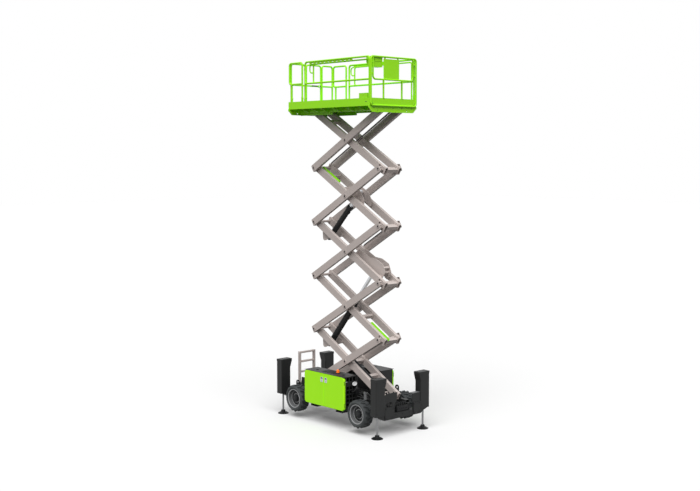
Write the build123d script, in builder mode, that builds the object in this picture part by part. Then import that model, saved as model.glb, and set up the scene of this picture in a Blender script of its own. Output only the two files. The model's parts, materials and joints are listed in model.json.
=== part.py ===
from build123d import *
import math
import os

os.makedirs("parts", exist_ok=True)

# Rough-terrain scissor lift, standing on its four jacks with the platform raised.
# +X runs to the steering end, +Y to the machine's left, +Z up from the floor,
# with the origin on the floor midway between the four jack feet.  Millimetres.

SIDES = {"right": -1, "left": 1}
ENDS = {"front": 1, "rear": -1}

# ---------------------------------------------------------------- shared clearances
seat = 0.3                  # pieces of two bodies that bear on each other
run_gap = 12                # side gap between an inner and an outer arm

# ---------------------------------------------------------------- scissor stack
stages = 5
arm_length = 2750           # pin to pin
rest_angle = 30             # arms above the horizontal as the machine stands here
arm_depth = 170
arm_width = 80
arm_wall = 6
arm_overhang = 60           # beam past its pin
inner_overhang = 150        # lower front end of an inner arm, which holds a cross tube
inner_arm_y = 225           # beam centres each side of the middle
pin_radius = 32
pin_sleeve_radius = 52
pin_head_radius = 46
pin_head_depth = 8
front_pin_x = 1360
base_pin_z = 900

outer_arm_y = inner_arm_y + arm_width + run_gap
stack_half_width = outer_arm_y + arm_width / 2
inner_gap_half = inner_arm_y - arm_width / 2
run = arm_length * math.cos(math.radians(rest_angle))
rise = arm_length * math.sin(math.radians(rest_angle))
rear_pin_x = front_pin_x - run
top_pin_z = base_pin_z + stages * rise

roller_radius = 44              # runs in the chassis and platform tracks
roller_width = 32
roller_y = stack_half_width + pin_head_depth + 4 + roller_width / 2
roller_end_y = roller_y + roller_width / 2
track_wall = 10
track_inner_y = roller_y - roller_width / 2 + 4
track_outer_y = roller_end_y + seat + track_wall
track_half_height = roller_radius + seat
track_start_x = -1462           # both tracks, chassis and platform
track_end_x = -230

# ---------------------------------------------------------------- lift cylinders
# columns: name, arm that holds the base pin, arm that holds the rod pin,
#          base pin along / off its arm, rod pin along / off its arm,
#          barrel radius, barrel length, rod radius, rod's inner end from the base pin
CYLINDERS = (
    ("lower", 1, 3, 2356, -240, 512, 166, 75, 1620, 45, 880),
    ("upper", 3, 4, 2356, -240, 1280, 156, 68, 1130, 40, 500),
)
cylinder_pin_radius = 35
pipe_radius = 9
cylinder_eye_radius = 68
cylinder_eye_half = 38
bracket_plate = 16
base_lug_plate = 22
stowed_gap = 5                  # side gap between pieces that pass when the stack is down
# half of the slot between the cheeks over each arm that holds a rod pin; the cylinders move
# in it, and the cheeks of the upper one pass outside those of the lower one
CHEEK_INNER_Y = {3: 92, 4: 92 + bracket_plate + stowed_gap}

# ---------------------------------------------------------------- chassis
rail_y = 330
rail_width = 100
rail_top_z = 770
rail_bottom_z = 560
rail_half_length = 1700
rail_wall = 8
tray_thickness = 20
eye_radius = 62
eye_plate = 22
filter_x = 1000
hood_x0 = -813
hood_x1 = 683
hood_inner_y = track_outer_y + seat
grille_y = 619
grille_pitch = 104
hood_outer_y = 853
hood_z0 = 479
hood_z1 = 1318
sheet = 5
door_thickness = 48
door_gap = 6
door_corner = 50             # cut off a door's outer corners
door_bevel = 10
tray_gap = 6
fork_pocket_x = (-500, 450)
fork_pocket = (240, 68)      # outer width and height

wheel_x = {"front": 1151, "rear": -1230}
wheel_z = 492
tyre_radius = 345
tyre_width = 300
wheel_face_y = 885
bead_radius = 240
lug_height = 26
lug_count = 16
lug_length = 160
lug_thickness = 44
lug_slant = 28
lug_root = 20                # of a lug, inside the carcass
kingpin_y = 600
hub_face_y = 700
hub_radius = 70
axle_radius = 55

jack_x = 1783
jack_y = 772
jack_rod_radius = 24
jack_pad_radius = 140
jack_pad_height = 88
jack_travel = 370
jack_rod_depth = 340         # rod inside its housing, jack extended
jack_end_gap = 30
housing_x0 = 1684
housing_x1 = 1880
housing_y0 = 602
housing_y1 = 905
housing_z0 = 540
housing_z1 = 1440
housing_cap = 50
housing_wall = 8
jack_tube_radius = 46
housing_cap_reach = 557
beam_x0 = 1700
beam_x1 = 1862
beam_z0 = 420
beam_z1 = 560
beam_flat_y = 615

# ---------------------------------------------------------------- platform
deck_sheet = 8
deck_depth = 147                # of the beams under the deck
floor_z = top_pin_z + deck_depth + deck_sheet
deck_under_z = floor_z - deck_sheet
deck_half_width = 762
deck_x0 = -1520
deck_x1 = 1522
floor_panel_x = (-1430, -670)   # raised tread panel behind the roll-out deck
floor_panel_half = 660
floor_panel_rise = 3
toe_z0 = floor_z - 58
toe_z1 = floor_z + 129
toe_thickness = 5
toe_x1 = 1498
rail_top = floor_z + 1112
rail_mid = floor_z + 565
tube = 19
post_y = deck_half_width - toe_thickness - seat - tube
end_plate_z0 = floor_z - 200
end_plate_half = 800
rail_bend = 70
side_post_x = (-1500, -1410, -1000, -880, 1460)     # ends and posts of a side rail
socket_wall = 5
socket_top = toe_z1 + 110
rack_x = (-710, 835)
rack_pitch = 150
rack_tooth = 72
rack_band = 26
rack_depth = 55                 # band and teeth below the tube
rack_plate = 8
extension_y = 690
extension_tube = 16
handle_radius = 13
extension_top = rail_top - 67
extension_x = (-620, 1430)
gate_post_y = (-235, 335)       # posts of the rear rails each side of the entry
gate_gap = 5
gate_z0 = floor_z + 80
gate_hinge_z = (floor_z + 200, floor_z + 970)
front_frame_x = 1520
front_frame_y = 745
front_frame_z0 = toe_z0 + 13
front_inner_y = (-680, 630)     # sides of the loop inside the front frame
front_post_y = (-340, 266)
front_stub_y = 705
front_stub_radius = 7
front_tie = 6                   # tie plates from the inner loop to the corner posts
front_tie_z = (rail_mid + 130, rail_top - 150)
front_panel_y = (-335, 168)

# ---------------------------------------------------------------- hoses on the arms
hose_radius = 15
hose_y = 155                    # lane between the cylinders and the inner arms
hose_off = 50
hose_strip = 6
tray_y = (-inner_gap_half + 6, -inner_gap_half + 46)
tray_off = (58, 112)
tray_wall = 4
# columns: name, outer arm that carries it, strip from, hose from, hose to
HOSE_RUNS = (("hose_run_1", 1, 1540, 1600, 2640), ("hose_run_3", 3, 1540, 1600, 2640),
             ("hose_run_5", 5, 0, 170, 2640))
# columns: inner arm, tray from, tray to
HOSE_TRAYS = ((2, -150, 560), (4, 1900, 2640))
bundle_y = -125


def save(piece, name):
    """Label a finished piece and write its STEP file."""
    piece.part.label = name
    export_step(piece.part, f"parts/{name}.step")


def arm_plane(kind, stage):
    """Local frame of an arm: X along it from its lower pin, Y square to it, upwards."""
    turn = math.radians(rest_angle)
    z = base_pin_z + (stage - 1) * rise
    if kind == "inner":
        return Plane(origin=(front_pin_x, 0, z), x_dir=(-math.cos(turn), 0, math.sin(turn)), z_dir=(0, 1, 0))
    return Plane(origin=(rear_pin_x, 0, z), x_dir=(math.cos(turn), 0, math.sin(turn)), z_dir=(0, -1, 0))


def cross_plane(plane, along, off, y):
    """Plane square to an arm at a place along it."""
    return Plane(origin=plane.from_local_coords((along, off, y)), x_dir=plane.y_dir, z_dir=plane.x_dir)


def box_beam(plane, start, end, y, depth=arm_depth, width=arm_width, wall=arm_wall):
    """Open-ended rectangular tube along an arm."""
    with BuildSketch(cross_plane(plane, start, 0, y)) as section:
        Rectangle(depth, width)
        Rectangle(depth - 2 * wall, width - 2 * wall, mode=Mode.SUBTRACT)
    extrude(section.sketch, amount=end - start)


def bar(plane, along, off, radius, y0, y1, mode=Mode.ADD):
    """Round bar across an arm from y0 to y1."""
    with BuildSketch(plane.offset(y0)) as section:
        with Locations((along, off)):
            Circle(radius)
    extrude(section.sketch, amount=y1 - y0, mode=mode)


def tube_run(points, bend, radius):
    """Bent round tube through the points."""
    with BuildLine() as path:
        FilletPolyline(*points, radius=bend)
    with BuildSketch(Plane(origin=path.line @ 0, z_dir=path.line % 0)) as section:
        Circle(radius)
    sweep(section.sketch, path=path.line)


def straight_tube(start, end, radius):
    """Straight round bar between two points."""
    way = Vector(*end) - Vector(*start)
    with BuildSketch(Plane(origin=start, z_dir=way)) as section:
        Circle(radius)
    extrude(section.sketch, amount=way.length)


def cross_tube(plane, along, off, height, length, half):
    """Square tube across the two beams of an arm."""
    with BuildSketch(plane.offset(-half)) as section:
        with Locations((along, off)):
            Rectangle(length, height)
    extrude(section.sketch, amount=2 * half)


# ================================================================ scissor arms
# columns: places along each inner arm of its cross tubes, clear of the cylinders
INNER_CROSS_TUBES = {1: (-90, 700, 1300), 2: (-90, 900), 3: (-90,), 4: (-90, 2300), 5: (-90, 2300)}
cross_tube_size = 84
rest_pad_at = -140
rest_pad_length = 70
rest_pad_rise = 14


def base_lugs(plane, along, off):
    """Lugs under an inner arm that carry the base pin of a lift cylinder."""
    outer = inner_gap_half - stowed_gap
    feet = (along - 200, -40), (along + 170, -40)
    for side in (-1, 1):
        with BuildSketch(plane.offset(side * outer)) as lug:
            with Locations((along, off)):
                Circle(66)
            with Locations(*feet):
                Circle(40)
            make_hull()
        extrude(lug.sketch, amount=-side * base_lug_plate)
        # pad that stands the lug off the beam's inner face
        with BuildSketch(plane.offset(side * (outer - 1))) as pad:
            with Locations(*feet):
                Circle(30)
            make_hull()
        extrude(pad.sketch, amount=side * (stowed_gap + 5))
    bar(plane, along, off, cylinder_pin_radius, -outer, outer)


def rod_bracket(plane, inner_y, outline, along, off, tie):
    """Twin cheeks over an inner arm beside the rod eye, on stubs from its beams."""
    for side in (-1, 1):
        with BuildSketch(plane.offset(side * inner_y)) as cheek:
            with BuildLine():
                FilletPolyline(*outline, radius=30, close=True)
            make_face()
        extrude(cheek.sketch, amount=side * bracket_plate)
        middle = side * (inner_y + bracket_plate / 2)
        for stub in tie:
            with BuildSketch(plane.offset(middle)) as block:
                with Locations(stub):
                    Rectangle(90, 90)
            extrude(block.sketch, amount=side * (inner_gap_half + 4 - abs(middle)))
        bar(plane, along, off, cylinder_pin_radius, side * (cylinder_eye_half + 8), middle)


def end_rollers(plane, along):
    """Rollers on the ends of an arm's shaft."""
    for side in (-1, 1):
        bar(plane, along, 0, roller_radius, side * (roller_end_y - roller_width), side * roller_end_y)


def hose_tray(plane, start, end):
    """Open channel along the inner top edge of a beam."""
    wide = tray_y[1] - tray_y[0]
    deep = tray_off[1] - tray_off[0]
    middle = (sum(tray_off) / 2, sum(tray_y) / 2)
    with BuildSketch(cross_plane(plane, start, middle[0], middle[1])) as channel:
        Rectangle(deep, wide)
        with Locations((tray_wall, 0)):
            Rectangle(deep, wide - 2 * tray_wall, mode=Mode.SUBTRACT)
    extrude(channel.sketch, amount=end - start)
    # strip that holds the channel on the beam's inner face
    with BuildSketch(cross_plane(plane, start, tray_off[0] + 10, -inner_gap_half + 3)) as strip:
        Rectangle(20, 12)
    extrude(strip.sketch, amount=end - start)


for stage in range(1, stages + 1):
    plane = arm_plane("inner", stage)
    with BuildPart() as inner_arm:
        for side in (-1, 1):
            y = side * inner_arm_y
            box_beam(plane, -inner_overhang, arm_length + arm_overhang, y)
            for along in (0, arm_length / 2, arm_length):
                bar(plane, along, 0, pin_sleeve_radius, y - arm_width / 2, y + arm_width / 2)
            # rest pad for the arm above when the stack is down
            with BuildSketch(cross_plane(plane, rest_pad_at, arm_depth / 2 + rest_pad_rise / 2 - 1, y)) as pad:
                Rectangle(rest_pad_rise + 2, 50)
            extrude(pad.sketch, amount=rest_pad_length)
        for along in INNER_CROSS_TUBES[stage]:
            cross_tube(plane, along, 0, cross_tube_size, cross_tube_size, inner_gap_half + arm_wall)
        for row in HOSE_TRAYS:
            if row[0] == stage:
                hose_tray(plane, row[1], row[2])
        if stage in (1, 3):
            base_lugs(plane, CYLINDERS[0][3], CYLINDERS[0][4])
        if stage == 3:
            outline = ((150, 0), (130, 200), (300, 330), (560, 310), (780, 210), (1180, 190), (1260, 0))
            rod_bracket(plane, CHEEK_INNER_Y[stage], outline, *CYLINDERS[0][5:7], ((210, 0), (1150, 0)))
            for along, off in ((200, 150), (250, 250)):
                cross_tube(plane, along, off, 40, 60, CHEEK_INNER_Y[stage])
        if stage == 4:
            outline = ((860, -20), (940, 150), (1130, 260), (1420, 240), (1700, 60), (1700, -20))
            rod_bracket(plane, CHEEK_INNER_Y[stage], outline, *CYLINDERS[1][5:7], ((960, 0), (1620, 0)))
        for along in (0, arm_length / 2, arm_length):
            if stage == stages and along == arm_length:
                bar(plane, along, 0, pin_radius, -roller_end_y, roller_end_y)
            else:
                for side in (-1, 1):
                    y = side * inner_arm_y
                    bar(plane, along, 0, pin_radius + seat, y - arm_width, y + arm_width, mode=Mode.SUBTRACT)
        if stage == stages:
            end_rollers(plane, arm_length)
    save(inner_arm, f"inner_arm_{stage}")

    plane = arm_plane("outer", stage)
    with BuildPart() as outer_arm:
        for side in (-1, 1):
            y = side * outer_arm_y
            box_beam(plane, -arm_overhang, arm_length + arm_overhang, y)
            start = side * inner_gap_half
            bar(plane, arm_length / 2, 0, pin_radius, start, side * (stack_half_width + pin_head_depth))
            for along in (0, arm_length / 2, arm_length):
                bar(plane, along, 0, pin_sleeve_radius, y - arm_width / 2, y + arm_width / 2)
                bar(plane, along, 0, pin_head_radius, side * stack_half_width,
                    side * (stack_half_width + pin_head_depth))
        for along in (0, arm_length):
            end = stack_half_width
            if stage == 1 and along == 0:
                end = roller_end_y
            if stage == stages and along == arm_length:
                end = stack_half_width + pin_head_depth + 4 + 30
            bar(plane, along, 0, pin_radius, -end, end)
        if stage == 1:
            end_rollers(plane, 0)
        for name, carrier, strip_start, hose_start, hose_end in HOSE_RUNS:
            if carrier == stage:
                # flat strip under the hose, welded to the shafts that cross the stack
                strip_off = hose_off - hose_radius - seat - hose_strip / 2
                with BuildSketch(cross_plane(plane, strip_start, strip_off, -hose_y)) as strip:
                    Rectangle(hose_strip, 2 * hose_radius)
                extrude(strip.sketch, amount=arm_length - strip_start)
    save(outer_arm, f"outer_arm_{stage}")

for name, carrier, strip_start, hose_start, hose_end in HOSE_RUNS:
    plane = arm_plane("outer", carrier)
    with BuildPart() as hose:
        with BuildSketch(cross_plane(plane, hose_start, hose_off, -hose_y)):
            Circle(hose_radius)
        extrude(amount=hose_end - hose_start)
        # end fittings
        for along in (hose_start - 40, hose_end):
            with BuildSketch(cross_plane(plane, along, hose_off, -hose_y)) as fitting:
                RegularPolygon(hose_radius - 1, 6)
            extrude(fitting.sketch, amount=40)
    save(hose, name)

# three hoses that lie on the cross tubes of the lowest inner arm
with BuildPart() as hose_bundle:
    plane = arm_plane("inner", 1)
    low = cross_tube_size / 2 + seat + hose_radius
    half_pitch = hose_radius + 2
    rise_off = math.sqrt((2 * hose_radius + seat) ** 2 - half_pitch ** 2)
    for across, off in ((-half_pitch, low), (half_pitch, low), (0, low + rise_off)):
        with BuildSketch(cross_plane(plane, 250, off, bundle_y + across)) as section:
            Circle(hose_radius)
        extrude(section.sketch, amount=1120)
save(hose_bundle, "hose_bundle")

# ================================================================ lift cylinders
for row in CYLINDERS:
    name, base_arm, rod_arm, a, b, c, d, barrel_r, barrel_len, rod_r, rod_start = row
    base = arm_plane("inner", base_arm).from_local_coords((a, b, 0))
    tip = arm_plane("inner", rod_arm).from_local_coords((c, d, 0))
    axis = tip - base
    length = axis.length
    side_plane = Plane(origin=base, x_dir=axis, z_dir=(0, 1, 0))
    with BuildPart() as barrel:
        with BuildSketch(Plane(origin=side_plane.from_local_coords((55, 0, 0)), z_dir=axis)):
            Circle(barrel_r)
        extrude(amount=barrel_len - 55)
        with BuildSketch(Plane(origin=side_plane.from_local_coords((barrel_len - 90, 0, 0)), z_dir=axis)):
            Circle(barrel_r + 9)
        extrude(amount=90)
        bar(side_plane, 0, 0, cylinder_eye_radius, -cylinder_eye_half, cylinder_eye_half)
        with BuildSketch(Plane(origin=side_plane.from_local_coords((75, 0, 0)), z_dir=axis)):
            Circle(rod_r + seat)
        extrude(amount=barrel_len, mode=Mode.SUBTRACT)
        bar(side_plane, 0, 0, cylinder_pin_radius + seat, -100, 100, mode=Mode.SUBTRACT)
        # oil pipe along the barrel, between its port blocks
        pipe_off = barrel_r + pipe_radius + 2
        for along in (120, barrel_len - 150):
            with Locations(Plane(origin=side_plane.from_local_coords((along, barrel_r + 4, 0)), x_dir=axis,
                                 z_dir=(0, 1, 0))):
                Box(70, 36, 40)
        with BuildSketch(Plane(origin=side_plane.from_local_coords((120, pipe_off, 0)), z_dir=axis)) as pipe:
            Circle(pipe_radius)
        extrude(pipe.sketch, amount=barrel_len - 270)
    save(barrel, f"{name}_barrel")
    with BuildPart() as rod:
        with BuildSketch(Plane(origin=side_plane.from_local_coords((rod_start, 0, 0)), z_dir=axis)):
            Circle(rod_r)
        extrude(amount=length - rod_start - 50)
        bar(side_plane, length, 0, cylinder_eye_radius, -cylinder_eye_half, cylinder_eye_half)
        bar(side_plane, length, 0, cylinder_pin_radius, -100, 100, mode=Mode.SUBTRACT)
    save(rod, f"{name}_rod")
    print(name, "cylinder: base", base, "tip", tip, "length", round(length, 2))

track_mid_x = (track_start_x + track_end_x) / 2


def slide_track(side, z):
    """Channel, open to the middle, that guides a roller."""
    length = track_end_x - track_start_x
    with Locations((track_mid_x, side * (track_outer_y - track_wall / 2), z)):
        Box(length, track_wall, 2 * (track_half_height + track_wall))
    for up in (-1, 1):
        with Locations((track_mid_x, side * (track_inner_y + track_outer_y) / 2,
                        z + up * (track_half_height + track_wall / 2))):
            Box(length, track_outer_y - track_inner_y, track_wall)


# ================================================================ chassis
with BuildPart() as chassis_frame:
    for side in (-1, 1):
        with Locations((0, side * rail_y, (rail_top_z + rail_bottom_z) / 2)):
            Box(2 * rail_half_length, rail_width, rail_top_z - rail_bottom_z)
            Box(2 * rail_half_length, rail_width - 2 * rail_wall,
                rail_top_z - rail_bottom_z - 2 * rail_wall, mode=Mode.SUBTRACT)
        slide_track(side, base_pin_z)
        # web plate from the rail up to the track, on a spacer at the rail's foot
        web_top = base_pin_z + track_half_height + track_wall
        with Locations((track_mid_x, side * (track_outer_y - track_wall / 2), (rail_bottom_z + web_top) / 2)):
            Box(track_end_x - track_start_x, track_wall, web_top - rail_bottom_z)
        rail_outer_y = rail_y + rail_width / 2
        with Locations((track_mid_x, side * (rail_outer_y + track_outer_y) / 2, rail_bottom_z + 20)):
            Box(track_end_x - track_start_x, track_outer_y - rail_outer_y, 40)
        # tray under the hood
        tray_y0 = rail_y + rail_width / 2 - 20
        tray_y1 = hood_outer_y - door_thickness - tray_gap
        with Locations(((hood_x0 + hood_x1) / 2, side * (tray_y0 + tray_y1) / 2, hood_z0 + tray_thickness / 2)):
            Box(hood_x1 - hood_x0, tray_y1 - tray_y0, tray_thickness)
        # pockets for a fork lift's forks, under the tray
        with Locations(*[(x, side * (tray_y0 + tray_y1) / 2, hood_z0 - fork_pocket[1] / 2)
                         for x in fork_pocket_x]):
            Box(fork_pocket[0], tray_y1 - tray_y0, fork_pocket[1])
            Box(fork_pocket[0] - 2 * rail_wall, tray_y1 - tray_y0, fork_pocket[1] - 2 * rail_wall,
                mode=Mode.SUBTRACT)
        with Locations(((hood_x0 + hood_x1) / 2, side * (tray_y0 + 10), (hood_z0 + rail_bottom_z) / 2)):
            Box(hood_x1 - hood_x0, 20, rail_bottom_z - hood_z0)
    for x in (-1560, -880, 100, 800, 1560):
        with Locations((x, 0, rail_bottom_z + 60)):
            Box(120, 2 * rail_y - rail_width + 10, 110)
    # lifting eyes on the rails: columns: x, side, height of the eye
    for x, side, z in ((-1640, -1, 790), (-1640, 1, 790), (1270, 1, 1005), (1270, -1, 1005)):
        face_y = side * (rail_y + rail_width / 2 - 2)
        with BuildSketch(Plane.XZ.offset(-face_y)):
            with Locations((x, z)):
                Circle(eye_radius)
            with Locations((x, rail_bottom_z + 100)):
                Rectangle(2 * eye_radius, 40)
            make_hull()
            with Locations((x, z)):
                Circle(eye_radius - 34, mode=Mode.SUBTRACT)
        extrude(amount=-side * eye_plate)
    # oil filter beside the front right wheel, on a shelf from the rail
    shelf_y = -(rail_y + rail_width / 2)
    with Locations((filter_x, shelf_y - 44, rail_top_z - 10)):
        Box(110, 92, 20)
    with Locations((filter_x, shelf_y - 45, rail_top_z + 70)):
        Cylinder(44, 144)
    with Locations((filter_x, shelf_y - 45, rail_top_z + 155)):
        Cylinder(50, 40)
    tube_run(((filter_x, shelf_y - 45, rail_top_z + 150), (820, shelf_y - 45, rail_top_z + 150),
              (760, shelf_y - 45, rail_top_z + 90), (hood_x1 + seat, shelf_y - 45, rail_top_z + 90)), 30, 12)
save(chassis_frame, "chassis_frame")

with BuildPart() as scissor_front_mounts:
    rail_inner_y = rail_y - rail_width / 2
    for side in (-1, 1):
        # cheek against the rail's inner face, thickened where it stands on the rail
        for y0, thick, foot_z in ((rail_inner_y - 10, 10, rail_bottom_z + 60), (rail_inner_y, 36, rail_top_z)):
            with BuildSketch(Plane.XZ.offset(-side * y0)):
                with Locations((front_pin_x, base_pin_z)):
                    Circle(66)
                with Locations((front_pin_x, foot_z + 10)):
                    Rectangle(260, 20)
                make_hull()
            extrude(amount=-side * thick)
        with BuildSketch(Plane.XZ.offset(-side * (inner_gap_half - 4))):
            with Locations((front_pin_x, base_pin_z)):
                Circle(pin_radius)
        extrude(amount=-side * (rail_inner_y - inner_gap_half + 10))
save(scissor_front_mounts, "scissor_front_mounts")

for end, sign in ENDS.items():
    with BuildPart() as crossbeam:
        with BuildSketch(Plane.YZ.offset(sign * beam_x0)):
            with BuildLine():
                Polyline((-beam_flat_y, beam_z0), (beam_flat_y, beam_z0), (742, 490), (878, housing_z0),
                         (housing_y0, housing_z0), (housing_y0, beam_z1), (-housing_y0, beam_z1),
                         (-housing_y0, housing_z0), (-878, housing_z0), (-742, 490), close=True)
            make_face()
        extrude(amount=sign * (beam_x1 - beam_x0))
        with Locations(*[(sign * jack_x, side * jack_y, beam_z0) for side in (-1, 1)]):
            Cylinder(jack_rod_radius + 8, 400, mode=Mode.SUBTRACT)
    save(crossbeam, f"{end}_crossbeam")

with BuildPart() as front_cover:
    # towing blocks on the beam's front face
    for y0, y1 in ((-600, -300), (357, 600)):
        with Locations((beam_x1 + 8, (y0 + y1) / 2, (448 + 722) / 2)):
            Box(16, y1 - y0, 722 - 448)
    with BuildSketch(Plane.YZ.offset(beam_x1 - 12)):
        with BuildLine():
            Polyline((-600, beam_z1), (-600, 1000), (-560, 1060), (-190, 1060), (-190, 900),
                     (-270, 760), (-270, beam_z1), close=True)
        make_face()
        with BuildLine():
            Polyline((600, beam_z1), (600, 950), (330, 950), (330, beam_z1), close=True)
        make_face()
        with Locations((-446, 790)):
            RectangleRounded(200, 110, 50, mode=Mode.SUBTRACT)
    extrude(amount=12)
    with Locations((beam_x1 - 70, 465, 940)):
        Box(140, 270, 20)
    # winch drum behind the near plate's opening
    with BuildSketch(Plane.YZ.offset(beam_x1 - 90)):
        with Locations((-446, 790)):
            Circle(44)
    extrude(amount=60)
    with BuildSketch(Plane.XY.offset(beam_z1)):
        with Locations((beam_x1 - 53, -446)):
            Rectangle(94, 60)
    extrude(amount=170)
    with BuildSketch(Plane.XY.offset(beam_z1)):
        with Locations((beam_x1 - 80, -446)):
            Rectangle(40, 60)
    extrude(amount=200)
save(front_cover, "front_cover")

with BuildPart() as outrigger_housings:
    for end_sign in (-1, 1):
        for side in (-1, 1):
            x_mid = end_sign * (housing_x0 + housing_x1) / 2
            with BuildSketch(Plane.XY.offset(housing_z0)):
                with Locations((x_mid, side * (housing_y0 + housing_y1) / 2)):
                    RectangleRounded(housing_x1 - housing_x0, housing_y1 - housing_y0, 18)
            extrude(amount=housing_z1 - housing_z0 - 20)
            with BuildSketch(Plane.YZ.offset(end_sign * housing_x0)):
                with BuildLine():
                    Polyline((side * housing_cap_reach, housing_z1), (side * housing_y1, housing_z1),
                             (side * housing_y1, housing_z1 - housing_cap),
                             (side * (housing_y0 + 20), housing_z1 - housing_cap - 160),
                             (side * (housing_y0 + 1), housing_z1 - housing_cap - 160),
                             (side * housing_cap_reach, housing_z1 - housing_cap), close=True)
                make_face()
            extrude(amount=end_sign * (housing_x1 - housing_x0))
            with BuildSketch(Plane.XY.offset(housing_z0)):
                with Locations((x_mid, side * (housing_y0 + housing_y1) / 2)):
                    RectangleRounded(housing_x1 - housing_x0 - 2 * housing_wall,
                                     housing_y1 - housing_y0 - 2 * housing_wall, 10)
            extrude(amount=housing_z1 - housing_z0 - 60, mode=Mode.SUBTRACT)
            with BuildSketch(Plane.XY.offset(housing_z0)):
                with Locations((end_sign * jack_x, side * jack_y)):
                    Circle(jack_tube_radius)
            extrude(amount=housing_z1 - housing_z0 - 40)
            with BuildSketch(Plane.XY.offset(housing_z0)):
                with Locations((end_sign * jack_x, side * jack_y)):
                    Circle(jack_rod_radius + seat)
            extrude(amount=jack_rod_depth + jack_travel + jack_end_gap, mode=Mode.SUBTRACT)
            # foot plate that carries the jack's tube
            with BuildSketch(Plane.XY.offset(housing_z0 + 20)):
                with Locations((x_mid, side * (housing_y0 + housing_y1) / 2)):
                    Rectangle(housing_x1 - housing_x0 - housing_wall, housing_y1 - housing_y0 - housing_wall)
                with Locations((end_sign * jack_x, side * jack_y)):
                    Circle(jack_tube_radius - 4, mode=Mode.SUBTRACT)
            extrude(amount=10)
save(outrigger_housings, "outrigger_housings")

for end, end_sign in ENDS.items():
    for side_name, side in SIDES.items():
        x, y = end_sign * jack_x, side * jack_y
        with BuildPart() as jack:
            with BuildSketch(Plane(origin=(x, y, 0), x_dir=(1, 0, 0), z_dir=(0, -1, 0))):
                with BuildLine():
                    Polyline((0, 0), (jack_pad_radius, 0), (jack_pad_radius, 14), (jack_pad_radius - 30, 26),
                             (62, 48), (52, jack_pad_height), (jack_rod_radius, jack_pad_height),
                             (jack_rod_radius, housing_z0 + jack_rod_depth), (0, housing_z0 + jack_rod_depth),
                             close=True)
                make_face()
            revolve(axis=Axis((x, y, 0), (0, 0, 1)))
        save(jack, f"jack_{end}_{side_name}")

# ================================================================ hoods and doors
for side_name, side in SIDES.items():
    hood_mid_x = (hood_x0 + hood_x1) / 2
    door_inner = hood_outer_y - door_thickness - seat
    with BuildPart() as hood:
        with Locations((hood_mid_x, side * (hood_inner_y + hood_outer_y) / 2, hood_z1 - sheet / 2)):
            Box(hood_x1 - hood_x0, hood_outer_y - hood_inner_y, sheet)
        wall_z0 = hood_z0 + tray_thickness
        wall_mid_z = (wall_z0 + hood_z1) / 2
        with Locations((hood_mid_x, side * (hood_inner_y + sheet / 2), wall_mid_z)):
            Box(hood_x1 - hood_x0, sheet, hood_z1 - wall_z0)
        for x in (hood_x0 + sheet / 2, hood_x1 - sheet / 2):
            with Locations((x, side * (hood_inner_y + door_inner) / 2, wall_mid_z)):
                Box(sheet, door_inner - hood_inner_y, hood_z1 - wall_z0)
        if side_name == "right":
            # cooling grille: a row of tall openings over a grid
            with BuildSketch(Plane.YZ.offset(hood_x1 - 2 * sheet)):
                with Locations((side * grille_y, 1250)):
                    with GridLocations(grille_pitch, 1, 3, 1):
                        Rectangle(76, 94)
                with Locations((side * grille_y, 830)):
                    with GridLocations(grille_pitch, grille_pitch, 3, 5):
                        Rectangle(74, 74)
            extrude(amount=4 * sheet, mode=Mode.SUBTRACT)
            # tube guard at the inner corner, on two stubs
            guard_x = hood_x1 + 24
            tube_run(((guard_x, -530, 1340), (guard_x, -425, 1340), (guard_x, -425, 1175),
                      (guard_x, -530, 1175)), 45, 9)
            for z in (1175, 1300):
                straight_tube((hood_x1 - 2, -430, z), (guard_x, -430, z), 8)
            # work lamp
            with BuildSketch(Plane.YZ.offset(hood_x1 - 1)):
                with Locations((-538, 1134)):
                    Ellipse(62, 38)
            extrude(amount=38)
            with BuildSketch(Plane.YZ.offset(hood_x1 + 37)):
                with Locations((-538, 1134)):
                    Ellipse(70, 44)
            extrude(amount=12)
            with Locations((hood_x1 + 10, -776, 1200)):
                Box(22, 46, 14)
    save(hood, f"hood_{side_name}")
    half = (hood_x1 - hood_x0 - door_gap) / 2
    for end, x0 in (("rear", hood_x0), ("front", hood_x1 - half)):
        z0, z1 = hood_z0, hood_z1 - sheet - 4
        with BuildPart() as door:
            # outer corners away from the seam are cut off
            hinge_x, seam_x = (x0, x0 + half) if end == "rear" else (x0 + half, x0)
            way = 1 if end == "rear" else -1
            with BuildSketch(Plane.XZ.offset(-side * hood_outer_y)):
                with BuildLine():
                    Polyline((seam_x, z0), (seam_x, z1), (hinge_x + way * door_corner, z1),
                             (hinge_x, z1 - door_corner), (hinge_x, z0 + door_corner),
                             (hinge_x + way * door_corner, z0), close=True)
                make_face()
            extrude(amount=side * door_thickness)
            outer_face = door.faces().sort_by(Axis.Y)[-1 if side > 0 else 0]
            chamfer(outer_face.edges(), length=door_bevel)
            with BuildSketch(Plane.XZ.offset(-side * (hood_outer_y - door_thickness))):
                with Locations((x0 + half / 2, (z0 + z1) / 2)):
                    Rectangle(half - 90, z1 - z0 - 90)
            extrude(amount=-side * (door_thickness - sheet), mode=Mode.SUBTRACT)
        save(door, f"door_{side_name}_{end}")

with BuildPart() as engine_block:
    with Locations((-120, -620, (hood_z0 + tray_thickness + 1040) / 2)):
        Box(640, 330, 1040 - hood_z0 - tray_thickness)
save(engine_block, "engine_block")

with BuildPart() as hydraulic_tank:
    with Locations((-250, 620, (hood_z0 + tray_thickness + 900) / 2)):
        Box(520, 320, 900 - hood_z0 - tray_thickness)
save(hydraulic_tank, "hydraulic_tank")

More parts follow.
